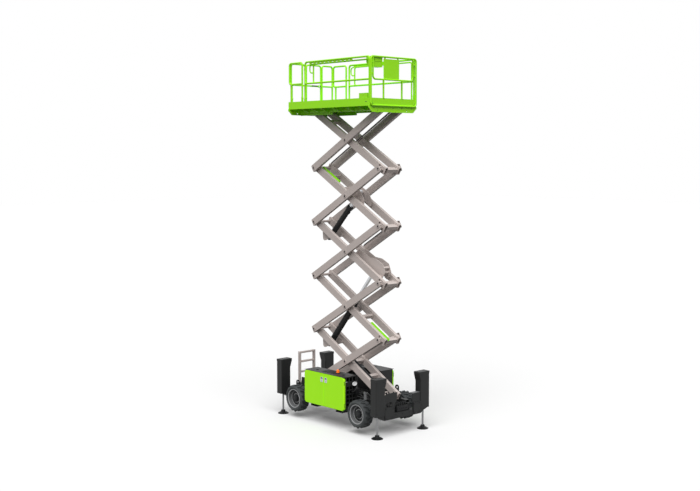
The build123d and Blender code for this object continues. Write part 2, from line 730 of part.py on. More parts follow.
with BuildPart() as beacon:
    with BuildSketch(Plane(origin=(148, -570, hood_z1), x_dir=(1, 0, 0), z_dir=(0, -1, 0))):
        with BuildLine():
            Polyline((0, 0), (48, 0), (48, 22), (40, 22), (40, 70))
            Line((40, 70), (0, 96))
            Line((0, 96), (0, 0))
        make_face()
    revolve(axis=Axis((148, -570, 0), (0, 0, 1)))
save(beacon, "beacon")

ladder_x = -(beam_x0 + 42)
ladder_half = 244
ladder_top = 1570
ladder_bar_gap = 50
ladder_rung_z = (760, 1030, 1300, 1542)
with BuildPart() as ladder:
    # each stile is two flat bars joined at the rungs
    for y in (-ladder_half, ladder_half):
        for x in (ladder_x - ladder_bar_gap / 2, ladder_x + ladder_bar_gap / 2):
            with Locations((x, y, (beam_z1 + ladder_top) / 2)):
                Box(14, 34, ladder_top - beam_z1)
        with Locations(*[(ladder_x, y, z) for z in ladder_rung_z]):
            Box(ladder_bar_gap, 30, 56)
    with Locations(*[(ladder_x, 0, z) for z in ladder_rung_z]):
        Box(ladder_bar_gap - 6, 2 * ladder_half, 34)
save(ladder, "ladder")

# ================================================================ axles, knuckles, wheels
with BuildPart() as front_axle:
    x = wheel_x["front"]
    with BuildSketch(Plane.XZ.offset(-500)):
        with Locations((x, wheel_z)):
            Circle(axle_radius)
    extrude(amount=1000)
    with Locations((x, 0, wheel_z)):
        Sphere(125)
    for side in (-1, 1):
        with Locations((x, side * 510, wheel_z)):
            Box(110, 60, 220)
        for up in (-1, 1):
            with BuildSketch(Plane.XY.offset(wheel_z + up * 80)):
                with Locations((x, side * kingpin_y)):
                    Circle(50)
                with Locations((x, side * 510)):
                    Rectangle(100, 60)
                make_hull()
            extrude(amount=up * 30)
        with Locations((x, side * rail_y, (wheel_z + rail_bottom_z) / 2)):
            Box(160, 80, rail_bottom_z - wheel_z)
save(front_axle, "front_axle")

with BuildPart() as rear_axle:
    x = wheel_x["rear"]
    with BuildSketch(Plane.XZ.offset(-(hub_face_y - 60))):
        with Locations((x, wheel_z)):
            Circle(axle_radius)
    extrude(amount=2 * (hub_face_y - 60))
    with Locations((x, 0, wheel_z)):
        Sphere(125)
    for side in (-1, 1):
        with BuildSketch(Plane.XZ.offset(-side * (hub_face_y - 70))):
            with Locations((x, wheel_z)):
                Circle(hub_radius)
        extrude(amount=-side * 70)
        with Locations((x, side * rail_y, (wheel_z + rail_bottom_z) / 2)):
            Box(160, 80, rail_bottom_z - wheel_z)
save(rear_axle, "rear_axle")

for side_name, side in SIDES.items():
    x = wheel_x["front"]
    with BuildPart() as knuckle:
        with BuildSketch(Plane.XY.offset(wheel_z - 80 + seat)):
            with Locations((x, side * kingpin_y)):
                Circle(48)
        extrude(amount=160 - 2 * seat)
        with BuildSketch(Plane.XZ.offset(-side * kingpin_y)):
            with Locations((x, wheel_z)):
                Circle(40)
        extrude(amount=-side * (hub_face_y - kingpin_y))
        with BuildSketch(Plane.XZ.offset(-side * (hub_face_y - 22))):
            with Locations((x, wheel_z)):
                Circle(hub_radius)
        extrude(amount=-side * 22)
    save(knuckle, f"knuckle_{side_name}")

for end in ENDS:
    for side_name, side in SIDES.items():
        x = wheel_x[end]
        face = wheel_face_y
        # profiles of revolution: local X is the machine's outward Y, local Y is up
        profile_plane = Plane(origin=(x, 0, wheel_z), x_dir=(0, side, 0), z_dir=(-side, 0, 0))
        with BuildPart() as rim:
            with BuildSketch(profile_plane):
                with BuildLine():
                    Polyline((face - 275, bead_radius), (face - 275, bead_radius - 20), (face - 150, 205),
                             (face - 128, 190), (face - 128, 96), (face - 160, hub_radius),
                             (hub_face_y + seat, hub_radius), (hub_face_y + seat, 0), (face - 100, 0),
                             (face - 100, 60), (face - 112, 96), (face - 112, 180), (face - 100, 205),
                             (face - 25, bead_radius - 20), (face - 25, bead_radius), close=True)
                make_face()
            revolve(axis=Axis((x, 0, wheel_z), (0, 1, 0)))
        save(rim, f"rim_{end}_{side_name}")
        with BuildPart() as tyre:
            carcass = tyre_radius - lug_height
            with BuildSketch(profile_plane):
                with BuildLine():
                    Polyline((face - tyre_width + 25, bead_radius + seat), (face - tyre_width, 275),
                             (face - tyre_width, 300), (face - tyre_width + 30, carcass),
                             (face - 30, carcass), (face, 300), (face, 275), (face - 25, bead_radius + seat),
                             close=True)
                make_face()
            revolve(axis=Axis((x, 0, wheel_z), (0, 1, 0)))
            for index in range(lug_count):
                for half_side, shift in ((-1, 0.0), (1, 0.5)):
                    turn = 2 * math.pi * (index + shift) / lug_count
                    outward = Plane(origin=(x, side * (face - tyre_width / 2), wheel_z), x_dir=(0, 1, 0),
                                    z_dir=(math.sin(turn), 0, math.cos(turn)))
                    with BuildSketch(outward.offset(carcass - lug_root)):
                        with Locations((half_side * (tyre_width - lug_length) / 2, 0)):
                            Rectangle(lug_length, lug_thickness, rotation=half_side * lug_slant)
                    extrude(amount=lug_root + lug_height - 2)
            with BuildSketch(profile_plane):
                with BuildLine():
                    Polyline((face - tyre_width - 40, 200), (face - tyre_width, 200), (face - tyre_width, 290),
                             (face - tyre_width + 45, tyre_radius), (face - 45, tyre_radius), (face, 290),
                             (face, 200), (face + 40, 200), (face + 40, tyre_radius + 60),
                             (face - tyre_width - 40, tyre_radius + 60), close=True)
                make_face()
            revolve(axis=Axis((x, 0, wheel_z), (0, 1, 0)), mode=Mode.SUBTRACT)
        save(tyre, f"tyre_{end}_{side_name}")

# ================================================================ platform
deck_beam_y = 460
deck_beam_width = 60
deck_beam_z0 = deck_under_z - deck_depth
deck_beam_mid_z = (deck_beam_z0 + deck_under_z) / 2
bracket_inner_y = deck_beam_y + deck_beam_width / 2 - 1
bracket_outer_y = deck_half_width - 2
with BuildPart() as platform_deck:
    deck_mid_x = (deck_x0 + deck_x1) / 2
    with Locations((deck_mid_x - 12, 0, floor_z - deck_sheet / 2)):
        Box(deck_x1 - deck_x0 - 24, 2 * (deck_half_width - toe_thickness), deck_sheet)
    with Locations((sum(floor_panel_x) / 2, 0, floor_z + floor_panel_rise / 2)):
        Box(floor_panel_x[1] - floor_panel_x[0], 2 * floor_panel_half, floor_panel_rise)
    for side in (-1, 1):
        with Locations(((deck_x0 + toe_x1) / 2, side * (deck_half_width - toe_thickness / 2),
                        (toe_z0 + toe_z1) / 2)):
            Box(toe_x1 - deck_x0, toe_thickness, toe_z1 - toe_z0)
        # tie slot near the front of the toe board
        with Locations((1370, side * deck_half_width, floor_z + 40)):
            Box(60, 40, 12, mode=Mode.SUBTRACT)
        with Locations((0, side * deck_beam_y, deck_beam_mid_z)):
            Box(2960, deck_beam_width, deck_depth)
            Box(2960, deck_beam_width - 2 * sheet, deck_depth - 2 * sheet, mode=Mode.SUBTRACT)
        for x in (-1042, -659, -301, 166, 637, 1078):
            with BuildSketch(Plane.YZ.offset(x - 4)):
                with BuildLine():
                    Polyline((side * bracket_inner_y, deck_beam_z0 + 5), (side * bracket_outer_y, toe_z0),
                             (side * bracket_outer_y, deck_under_z + 1),
                             (side * bracket_inner_y, deck_under_z + 1), close=True)
                make_face()
            extrude(amount=8)
        slide_track(side, top_pin_z)
        hanger_z0 = top_pin_z + track_half_height
        with Locations((track_mid_x, side * (track_outer_y - track_wall / 2), (hanger_z0 + deck_under_z) / 2)):
            Box(track_end_x - track_start_x, track_wall, deck_under_z - hanger_z0)
        # front pivot lug
        lug_y = stack_half_width + pin_head_depth + 4
        with BuildSketch(Plane.XZ.offset(-side * lug_y)):
            with Locations((front_pin_x, top_pin_z)):
                Circle(62)
            with Locations((front_pin_x, deck_under_z - 15)):
                Rectangle(220, 30)
            make_hull()
        extrude(amount=-side * 30)
        with BuildSketch(Plane.XZ.offset(-side * (lug_y - 6))):
            with Locations((front_pin_x, top_pin_z)):
                Circle(pin_radius + seat)
        extrude(amount=-side * 60, mode=Mode.SUBTRACT)
    for x in (-1492, 1480):
        with BuildSketch(Plane.YZ.offset(x)):
            with BuildLine():
                Polyline((-end_plate_half, toe_z0 - 2), (-end_plate_half, toe_z0 - 32), (-680, end_plate_z0),
                         (680, end_plate_z0), (end_plate_half, toe_z0 - 32), (end_plate_half, toe_z0 - 2),
                         (deck_half_width - 2, deck_under_z + 1), (-deck_half_width + 2, deck_under_z + 1),
                         close=True)
            make_face()
            with Locations((-499, end_plate_z0 + 42), (465, end_plate_z0 + 42)):
                Circle(15, mode=Mode.SUBTRACT)
        extrude(amount=12)
    # document box on the right toe board
    with Locations((1265, -(deck_half_width - toe_thickness - 22), floor_z + 155)):
        Box(290, 46, 170)
    for y0, y1 in ((-deck_half_width + toe_thickness, gate_post_y[0] + tube),
                   (gate_post_y[1] - tube, deck_half_width - toe_thickness)):
        with Locations((deck_x0 + toe_thickness / 2, (y0 + y1) / 2, (toe_z0 + toe_z1) / 2)):
            Box(toe_thickness, y1 - y0, toe_z1 - toe_z0)
save(platform_deck, "platform_deck")


def post_socket(x, y):
    """Sleeve round a rail post above the toe board, with its cross bolt."""
    z0 = toe_z1 + seat
    with Locations((x, y, (z0 + socket_top) / 2)):
        Cylinder(tube + socket_wall, socket_top - z0)
    with Locations((x, y, socket_top - 35)):
        Cylinder(8, 2 * (tube + socket_wall) + 14, rotation=(0, 90, 0))


tube_z = rail_top - tube
for side_name, side in SIDES.items():
    y = side * post_y
    end_x, prop_x, rear_post, front_post, tip_x = side_post_x
    with BuildPart() as side_rail:
        # rear loop, in two runs that meet on its top tube
        tube_run(((prop_x, y, rail_mid), (end_x, y, rail_mid), (end_x, y, tube_z), (prop_x, y, tube_z)),
                 rail_bend, tube)
        tube_run(((prop_x, y, tube_z), (rear_post, y, tube_z), (rear_post, y, floor_z)), rail_bend, tube)
        straight_tube((prop_x, y, rail_mid), (rear_post, y, rail_mid), tube)
        straight_tube((prop_x, y, rail_mid), (prop_x, y, floor_z), tube)
        tube_run(((front_post, y, floor_z), (front_post, y, tube_z), (tip_x, y, tube_z),
                  (tip_x, y, floor_z)), rail_bend, tube)
        straight_tube((front_post, y, rail_mid), (tip_x, y, rail_mid), tube)
        for x in (prop_x, rear_post, front_post, tip_x):
            post_socket(x, y)
        # toothed plate under the top rail, which the roll-out rails lock on
        with BuildSketch(Plane.XZ.offset(-y - rack_plate / 2)) as rack:
            band_z = rail_top - 2 * tube + 4
            with Locations((sum(rack_x) / 2, band_z - rack_band / 2)):
                Rectangle(rack_x[1] - rack_x[0], rack_band)
            teeth = int((rack_x[1] - rack_x[0]) // rack_pitch) + 1
            for index in range(teeth):
                with Locations((rack_x[0] + rack_tooth / 2 + index * rack_pitch, band_z - rack_depth / 2)):
                    Rectangle(rack_tooth, rack_depth)
        extrude(rack.sketch, amount=rack_plate)
    save(side_rail, f"rail_{side_name}")

rear_x = deck_x0 + toe_thickness + seat + tube
with BuildPart() as rail_rear:
    for y0, y1 in ((-690, gate_post_y[0]), (690, gate_post_y[1])):
        tube_run(((rear_x, y0, floor_z), (rear_x, y0, tube_z), (rear_x, y1, tube_z),
                  (rear_x, y1, floor_z)), rail_bend, tube)
        straight_tube((rear_x, y0, rail_mid), (rear_x, y1, rail_mid), tube)
save(rail_rear, "rail_rear")

with BuildPart() as entry_gate:
    hinge_y = gate_post_y[0]
    y0 = hinge_y + 2 * tube + gate_gap
    y1 = gate_post_y[1] - 2 * tube - gate_gap
    tube_run(((rear_x, y0, gate_z0), (rear_x, y0, tube_z), (rear_x, y1, tube_z),
              (rear_x, y1, gate_z0)), rail_bend, tube)
    for z in (rail_mid, gate_z0 + tube):
        straight_tube((rear_x, y0, z), (rear_x, y1, z), tube)
    # sleeves that turn on the post
    with Locations(*[(rear_x, hinge_y, z) for z in gate_hinge_z]):
        Cylinder(tube + 8, 60)
    with Locations(*[(rear_x, (hinge_y + y0) / 2, z) for z in gate_hinge_z]):
        Box(12, y0 - hinge_y, 50)
    with Locations((rear_x, hinge_y, rail_mid)):
        Cylinder(tube + seat, rail_top - gate_z0, mode=Mode.SUBTRACT)
    # latch box on the free side, with its lever along the middle tube
    with Locations((rear_x + tube + 8, y1 - 60, rail_mid)):
        Box(24, 90, 60)
    with Locations((rear_x + tube + 10, (y0 + y1) / 2 - 50, rail_mid + 4)):
        Box(14, 200, 18)
    with Locations((rear_x + tube, (y0 + y1) / 2 - 50, rail_mid + 4)):
        Box(24, 30, 16)
save(entry_gate, "entry_gate")

ext_plate_z = (floor_z + seat, floor_z + 8)
with BuildPart() as extension_deck:
    with Locations(((-650 + front_frame_x) / 2, 0, sum(ext_plate_z) / 2)):
        Box(front_frame_x + 650, 1400, ext_plate_z[1] - ext_plate_z[0])
    # toe board inside the front frame
    front_toe_z0 = front_frame_z0 + tube + seat
    front_toe_y = front_frame_y - tube - seat
    with BuildSketch(Plane.YZ.offset(front_frame_x - toe_thickness)):
        with BuildLine():
            Polyline((-front_toe_y, toe_z1), (-front_toe_y, front_toe_z0 + rail_bend),
                     (-front_toe_y + rail_bend, front_toe_z0), (front_toe_y - rail_bend, front_toe_z0),
                     (front_toe_y, front_toe_z0 + rail_bend), (front_toe_y, toe_z1), close=True)
        make_face()
    extrude(amount=2 * toe_thickness)
save(extension_deck, "extension_deck")

for side_name, side in SIDES.items():
    y = side * extension_y
    rear_x0, front_x1 = extension_x
    top = extension_top - extension_tube
    low = rail_mid
    with BuildPart() as rail:
        # loop in two runs that meet on its top tube; the front post goes on to the deck
        middle = (rear_x0 + front_x1) / 2
        tube_run(((front_x1, y, low), (rear_x0, y, low), (rear_x0, y, top), (middle, y, top)),
                 60, extension_tube)
        tube_run(((middle, y, top), (front_x1, y, top), (front_x1, y, ext_plate_z[1])), 60, extension_tube)
        # stubs to the tie plates of the front frame
        for z in front_tie_z:
            stub_y = side * front_stub_y
            straight_tube((front_x1, stub_y, z), (front_frame_x - front_tie / 2 - seat, stub_y, z),
                          front_stub_radius)
        # curved handle behind the rear post
        tube_run(((rear_x0 + 50, y, top), (rear_x0 - 140, y, top), (rear_x0 - 140, y, top - 210),
                  (rear_x0, y, top - 210)), 80, handle_radius)
    save(rail, f"extension_rail_{side_name}")

with BuildPart() as extension_rail_front:
    x = front_frame_x
    radius = extension_tube
    frame_top = rail_top - tube
    for side in (-1, 1):
        tube_run(((x, 0, front_frame_z0), (x, side * front_frame_y, front_frame_z0),
                  (x, side * front_frame_y, frame_top), (x, 0, frame_top)), rail_bend, tube)
    # inner loop from the top tube, rounded into the middle tube
    y0, y1 = front_inner_y
    tube_run(((x, y0, frame_top), (x, y0, rail_mid), (x, y1, rail_mid), (x, y1, frame_top)), 80, radius)
    for loop_y, corner_y in zip(front_inner_y, (-front_frame_y, front_frame_y)):
        with Locations(*[(x, (loop_y + corner_y) / 2, z) for z in front_tie_z]):
            Box(front_tie, abs(corner_y - loop_y), 30)
    for y in front_post_y:
        straight_tube((x, y, rail_mid), (x, y, toe_z1 + seat), radius + 2)
    # blank panel under the top tube
    y0, y1 = front_panel_y
    panel_top = extension_top
    with Locations((x, (y0 + y1) / 2, (rail_mid + panel_top) / 2)):
        Box(6, y1 - y0, panel_top - rail_mid)
    with Locations(*[(x, y, (panel_top + frame_top) / 2) for y in (y0 + 40, y1 - 40)]):
        Box(6, 40, frame_top - panel_top + 10)
save(extension_rail_front, "extension_rail_front")

with BuildPart() as control_box:
    hook_x = front_frame_x - tube - seat
    box_y = (-650, -350)
    box_z = (rail_top - 262, rail_top - 12)
    box_depth = 240
    # side outline: the back leans out above a narrow foot
    with BuildSketch(Plane.XZ.offset(-box_y[0])):
        with BuildLine():
            Polyline((hook_x - 8, box_z[0]), (hook_x - 8, box_z[1]), (hook_x - 8 - box_depth, box_z[1]),
                     (hook_x - 8 - box_depth, box_z[0] + 120), (hook_x - box_depth + 35, box_z[0] + 50),
                     (hook_x - box_depth + 60, box_z[0]), close=True)
        make_face()
    extrude(amount=box_y[0] - box_y[1])
    with Locations((hook_x - 4, sum(box_y) / 2, box_z[1] - 60)):
        Box(8, 220, 120)
save(control_box, "control_box")
print("done")
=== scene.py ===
"""Looks of a rough-terrain scissor lift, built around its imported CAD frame.

Everything is in metres: +X towards the steering end, +Y towards the machine's left, +Z up.
"""

import json
import math

import bmesh
import bpy
from mathutils import Matrix, Vector


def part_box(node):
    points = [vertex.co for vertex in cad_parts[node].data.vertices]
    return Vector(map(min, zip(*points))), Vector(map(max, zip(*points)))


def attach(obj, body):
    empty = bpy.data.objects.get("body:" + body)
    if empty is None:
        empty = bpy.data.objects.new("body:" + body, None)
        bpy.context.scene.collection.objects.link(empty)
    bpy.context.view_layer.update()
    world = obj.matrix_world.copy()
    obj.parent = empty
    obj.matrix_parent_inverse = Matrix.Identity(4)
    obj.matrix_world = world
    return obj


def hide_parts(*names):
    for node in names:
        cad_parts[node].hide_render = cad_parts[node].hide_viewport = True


bl_info = {
    "name": "Scissor Lift Looks",
    "version": (1, 0, 0),
    "blender": (4, 5, 0),
    "location": "View3D > Sidebar > Scissor Lift",
    "description": "Finishes and small parts of a rough-terrain scissor lift",
    "category": "Object",
}

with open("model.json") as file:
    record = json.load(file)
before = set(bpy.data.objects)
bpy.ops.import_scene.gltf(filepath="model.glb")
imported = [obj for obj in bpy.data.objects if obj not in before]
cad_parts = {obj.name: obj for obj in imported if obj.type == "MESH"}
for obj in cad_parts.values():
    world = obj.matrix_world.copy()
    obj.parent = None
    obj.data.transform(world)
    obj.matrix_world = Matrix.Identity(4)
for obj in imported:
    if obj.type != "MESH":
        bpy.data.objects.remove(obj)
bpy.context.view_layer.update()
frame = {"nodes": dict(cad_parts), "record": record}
MM = 0.001
AHEAD = Vector((1, 0, 0))
UP = Vector((0, 0, 1))
SIDES = {"right": -1, "left": 1}
ENDS = {"front": 1, "rear": -1}


# ---------------------------------------------------------------- where things are
# the scissor stack at rest, seen from the side
ARM = 2.750
REST = math.radians(30)
FRONT_PIN_X = 1.360
BASE_PIN_Z = 0.900
RISE = ARM * math.sin(REST)
REAR_PIN_X = FRONT_PIN_X - ARM * math.cos(REST)
MID_PIN_X = (FRONT_PIN_X + REAR_PIN_X) / 2
STAGES = 5
PIN_FACE_Y = 0.365
ARM_MIDDLE_Y = {"inner": 0.225, "outer": 0.317}
# wheels, jacks, doors, lamp and deck
WHEEL_Z = 0.492
WHEEL_X = {"front": 1.151, "rear": -1.230}
JACK_X, JACK_Y = 1.783, 0.772
FOOT_TOP_Z = 0.089
DOOR_FACE_Y = 0.853
HOOD_TOP_Z = 1.318
WORK_LAMP = Vector((0.732, -0.538, 1.134))
DECK_Z = 7.930


def arm_foot(kind, stage):
    """Which way an arm leans in x, and x and z of its lower pin."""
    lean, x = (-1, FRONT_PIN_X) if kind == "inner" else (1, REAR_PIN_X)
    return lean, x, BASE_PIN_Z + (stage - 1) * RISE


def arm_way(kind):
    """Direction of an arm from its lower to its upper pin."""
    return Vector((arm_foot(kind, 1)[0] * math.cos(REST), 0, math.sin(REST)))


def arm_point(kind, stage, along, off=0.0):
    """x and z of a point along an arm from its lower pin, and off its middle line to its upper face."""
    lean, x, z = arm_foot(kind, stage)
    return (x + lean * along * math.cos(REST) - lean * off * math.sin(REST),
            z + along * math.sin(REST) + off * math.cos(REST))


def arm_off(kind, stage, spot):
    """How far a point lies off an arm's middle line, towards its upper face."""
    lean, x, z = arm_foot(kind, stage)
    return -lean * (spot.x - x) * math.sin(REST) + (spot.z - z) * math.cos(REST)


# how squarely a face looks along a direction, as a cosine
SQUARELY, ROUGHLY = 0.99, 0.9


def near(value, middle, reach):
    """Whether a value lies within reach of the middle."""
    return abs(value - middle) < reach


def band(side, close, far):
    """Two distances out from the middle plane on one side, as y in rising order."""
    return sorted((side * close, side * far))


# ---------------------------------------------------------------- colours and nodes
def linear(hex_colour):
    """Linear RGBA of an sRGB hex colour."""
    channels = [int(hex_colour[i:i + 2], 16) / 255 for i in (1, 3, 5)]
    return tuple(c / 12.92 if c <= 0.04045 else ((c + 0.055) / 1.055) ** 2.4 for c in channels) + (1.0,)


def scale_for(size_mm):
    """Texture scale whose spots are that many millimetres apart."""
    return 1 / (size_mm * MM)


def wave_scale_for(spacing_mm):
    """Scale of a wave texture whose bands are that many millimetres apart."""
    return math.pi / (10 * spacing_mm * MM)


def add_node(tree, kind, inputs=None, **settings):
    """Add a node; settings are its properties, inputs its socket values or the sockets that feed them."""
    node = tree.nodes.new(kind)
    for name, value in settings.items():
        setattr(node, name, value)
    for socket, value in (inputs or {}).items():
        if isinstance(value, bpy.types.NodeSocket):
            tree.links.new(value, node.inputs[socket])
        else:
            node.inputs[socket].default_value = value
    return node


def new_material(name):
    """Empty node material and its node tree."""
    material = bpy.data.materials.new(name)
    material.use_nodes = True
    material.node_tree.nodes.clear()
    return material, material.node_tree


def add_pattern(tree, kind, scale, inputs=None, read="Fac", **settings):
    """Texture on the piece's own coordinates, read as a 0 to 1 pattern."""
    place = add_node(tree, "ShaderNodeTexCoord").outputs["Object"]
    return add_node(tree, kind, {"Vector": place, "Scale": scale, **(inputs or {})}, **settings).outputs[read]


def surface(material, pattern, gloss, shades=None, relief=None, inputs=None):
    """Principled shader that follows a pattern: gloss is its roughness and shades its linear colours where
    the pattern is 0 and 1, relief a height with its strength and depth in mm, and inputs its even values."""
    tree, inputs = material.node_tree, dict(inputs or {})
    inputs["Roughness"] = add_node(tree, "ShaderNodeMapRange", {
        "Value": pattern, "To Min": gloss[0], "To Max": gloss[1]}).outputs["Result"]
    if shades:
        inputs["Base Color"] = add_node(tree, "ShaderNodeMixRGB", {
            "Fac": pattern, "Color1": shades[0], "Color2": shades[1]}).outputs["Color"]
    if relief:
        height, strength, depth_mm = relief
        inputs["Normal"] = add_node(tree, "ShaderNodeBump", {
            "Height": height, "Strength": strength, "Distance": depth_mm * MM}).outputs["Normal"]
    shader = add_node(tree, "ShaderNodeBsdfPrincipled", inputs)
    add_node(tree, "ShaderNodeOutputMaterial", {"Surface": shader.outputs["BSDF"]})


def seen_rays(tree):
    """1 for rays that show a thing straight, through glass or in a mirror, 0 for rays that carry light."""
    path = add_node(tree, "ShaderNodeLightPath")
    through = add_node(tree, "ShaderNodeMath", {0: path.outputs["Is Camera Ray"],
                                                1: path.outputs["Is Transmission Ray"]}, operation="ADD")
    return add_node(tree, "ShaderNodeMath", {0: through.outputs[0], 1: path.outputs["Is Glossy Ray"]},
                    operation="ADD", use_clamp=True).outputs[0]


# ---------------------------------------------------------------- finishes
# Sprayed and baked paints. Columns: common name, darker and lighter shade, roughness, specular level,
# clear coat, spacing and depth of the orange peel in mm, drawn coarser than real so that it shows.
PAINTS = {
    # half gloss and clean: the even bright green of rails and deck
    "lime": ("lime enamel on steel", "#98E813", "#A0F01B", 0.40, 0.22, 0.05, 6, 0.06),
    # the same lime on the door sheet, a little glossier, and brighter as painted light on the doors
    "door lime": ("lime enamel on door sheet", "#AAFC12", "#B0FF1A", 0.36, 0.20, 0.06, 6, 0.06),
    # warm grey satin of the welded arms, with a heavier peel
    "taupe": ("taupe enamel on welded steel", "#B6ACA7", "#C2B7B2", 0.46, 0.35, 0.0, 9, 0.10),
    # glossy enough for soft highlights along the folds of the chassis
    "black": ("black chassis enamel", "#1D1E1E", "#262727", 0.45, 0.20, 0.05, 6, 0.06),
    # plain satin of barrels, axles and arm ends; on the arm ends it is painted shade for the open tubes
    "satin black": ("satin black paint", "#202122", "#2A2B2C", 0.50, 0.20, 0.0, 8, 0.08),
    # thin black with a greasy sheen on pumps and valves, near black as painted shade where they sit in the
    # frame's openings
    "works black painted shade": ("oily black paint of the works", "#101112", "#1A1B1C", 0.45, 0.22, 0.0, 6, 0.06),
    # deep black with clear highlights on the round feet
    "foot black": ("gloss black enamel of the feet", "#0E0F10", "#151617", 0.42, 0.20, 0.0, 6, 0.06),
    # pale lip of the wheels with a fine haze
    "rim grey": ("grey wheel enamel", "#ABACAD", "#B7B8B9", 0.40, 0.35, 0.0, 6, 0.06),
    # the wheels' well, a darker grey as painted shade inside the rim
    "rim well painted shade": ("shaded grey wheel enamel", "#58595A", "#626364", 0.50, 0.25, 0.0, 6, 0.06),
    # the wheels' dark disc
    "disc grey": ("dark grey wheel enamel", "#2B2C2D", "#343536", 0.50, 0.25, 0.0, 6, 0.06),
    # thick paint over a sand-cast skin: small, deep and matt grain
    "cast grey": ("grey enamel on cast iron", "#6A6B6C", "#7B7C7D", 0.55, 0.30, 0.0, 4, 0.40),
    # painted light on the step's top: dull grey where light falls on the black cover's upward faces
    "step painted light": ("worn step grey", "#5C5D5E", "#666768", 0.55, 0.25, 0.0, 6, 0.06),
}
# Bare metals. Columns: common name, darker and lighter shade, lowest and highest roughness.
METALS = {
    # jack rods: even dark grey with a soft sheen
    "rod": ("nitrided steel rod", "#7E7F80", "#8A8B8D", 0.36, 0.45),
    # catches and locks: pale and a little cloudy
    "zinc": ("zinc-plated steel", "#B9BBBE", "#CDD0D4", 0.28, 0.40),
    # bolts and pins: near black with a dull shine
    "black bolt": ("black-oxide steel", "#2B2B2D", "#3A3A3D", 0.42, 0.55),
}


def powder_coat(key):
    """Sprayed and baked paint on steel: an even colour with a faint drift, and orange peel in its gloss."""
    name, dark, light, roughness, shine, coat, peel_mm, peel_depth_mm = PAINTS[key]
    chosen = bpy.context.scene.scissor_lift_colours
    dark = tuple(getattr(chosen, f"{key}_dark", linear(dark)))
    light = tuple(getattr(chosen, f"{key}_light", linear(light)))
    material, tree = new_material(name)
    drift = add_pattern(tree, "ShaderNodeTexNoise", scale_for(455), {"Detail": 3.0})
    peel = add_pattern(tree, "ShaderNodeTexNoise", scale_for(peel_mm), {"Detail": 2.0})
    surface(material, drift, (roughness - 0.05, roughness + 0.07), (dark, light), (peel, 0.5, peel_depth_mm),
            {"Specular IOR Level": shine, "Coat Weight": coat, "Coat Roughness": 0.12})
    return material


def bare_metal(key):
    """Metal without paint, whose gloss is cloudy on a centimetre scale."""
    name, dark, light, low, high = METALS[key]
    material, tree = new_material(name)
    cloud = add_pattern(tree, "ShaderNodeTexNoise", scale_for(11.1), {"Detail": 4.0})
    surface(material, cloud, (low, high), (linear(dark), linear(light)), (cloud, 0.2, 0.1), {"Metallic": 1.0})
    return material


def hard_chrome():
    """Ground and plated piston rod: bright, with a fine unevenness left by the grinding."""
    material, tree = new_material("hard chrome plate")
    # grinding marks are under 1 mm apart and drawn at 8 mm so that they show
    marks = add_pattern(tree, "ShaderNodeTexNoise", scale_for(8.33), {"Detail": 3.0})
    surface(material, marks, (0.12, 0.24), relief=(marks, 0.15, 0.1),
            inputs={"Base Color": linear("#C9CBCE"), "Metallic": 1.0})
    return material


def tyre_rubber():
    """Filled rubber: dark blue-grey, dull, a little dusty, with a fine moulded grain."""
    material, tree = new_material("vulcanised tyre rubber")
    dust = add_pattern(tree, "ShaderNodeTexNoise", scale_for(143), {"Detail": 5.0})
    # the real grain is about 1 mm and drawn coarser so that it shows
    grain = add_pattern(tree, "ShaderNodeTexNoise", scale_for(3.85), {"Detail": 2.0})
    surface(material, dust, (0.62, 0.82), (linear("#272A2B"), linear("#35393A")), (grain, 0.35, 0.6))
    return material


def beacon_lens():
    """Orange polycarbonate lens with fine level flutes, clear through its depth and lit by the room alone."""
    material, tree = new_material("orange polycarbonate lens")
    flutes = add_pattern(tree, "ShaderNodeTexWave", wave_scale_for(5.24), bands_direction="Z")
    surface(material, flutes, (0.12, 0.2), relief=(flutes, 0.4, 1),
            inputs={"Base Color": linear("#FF7A10"), "Subsurface Weight": 0.25, "Coat Weight": 0.5})
    return material


def lamp_glass():
    """Clear moulded polycarbonate over a bright reflector: white, with upright flutes."""
    material, tree = new_material("fluted polycarbonate lens")
    flutes = add_pattern(tree, "ShaderNodeTexWave", wave_scale_for(9.24), bands_direction="Y")
    surface(material, flutes, (0.08, 0.16), (linear("#DCDEE0"), linear("#F4F5F6")), (flutes, 0.5, 1),
            {"Coat Weight": 0.6})
    return material


def hose_rubber():
    """Extruded nitrile rubber cover: black and dull, with the faint cross-hatch of its wrap."""
    material, tree = new_material("nitrile hose rubber")
    wrap = add_pattern(tree, "ShaderNodeTexVoronoi", scale_for(6.25), read="Distance")
    surface(material, wrap, (0.55, 0.72), (linear("#191A1B"), linear("#26282A")), (wrap, 0.4, 0.8))
    return material


def moulded_black():
    """Injection-moulded black polyamide: fine spark-eroded grain, half matt."""
    material, tree = new_material("moulded black polyamide")
    # the real grain is a few tenths of a millimetre and drawn coarser so that it shows
    grain = add_pattern(tree, "ShaderNodeTexNoise", scale_for(1.43), {"Detail": 2.0})
    surface(material, grain, (0.42, 0.58), (linear("#161718"), linear("#222324")), (grain, 0.4, 0.3))
    return material


def white_plastic():
    """Moulded white ABS, glossy, with a barely seen flow pattern."""
    material, tree = new_material("white moulded ABS")
    flow = add_pattern(tree, "ShaderNodeTexNoise", scale_for(33.3), {"Detail": 2.0})
    surface(material, flow, (0.2, 0.34), (linear("#DFE0E0"), linear("#ECEDED")), inputs={"Coat Weight": 0.15})
    return material


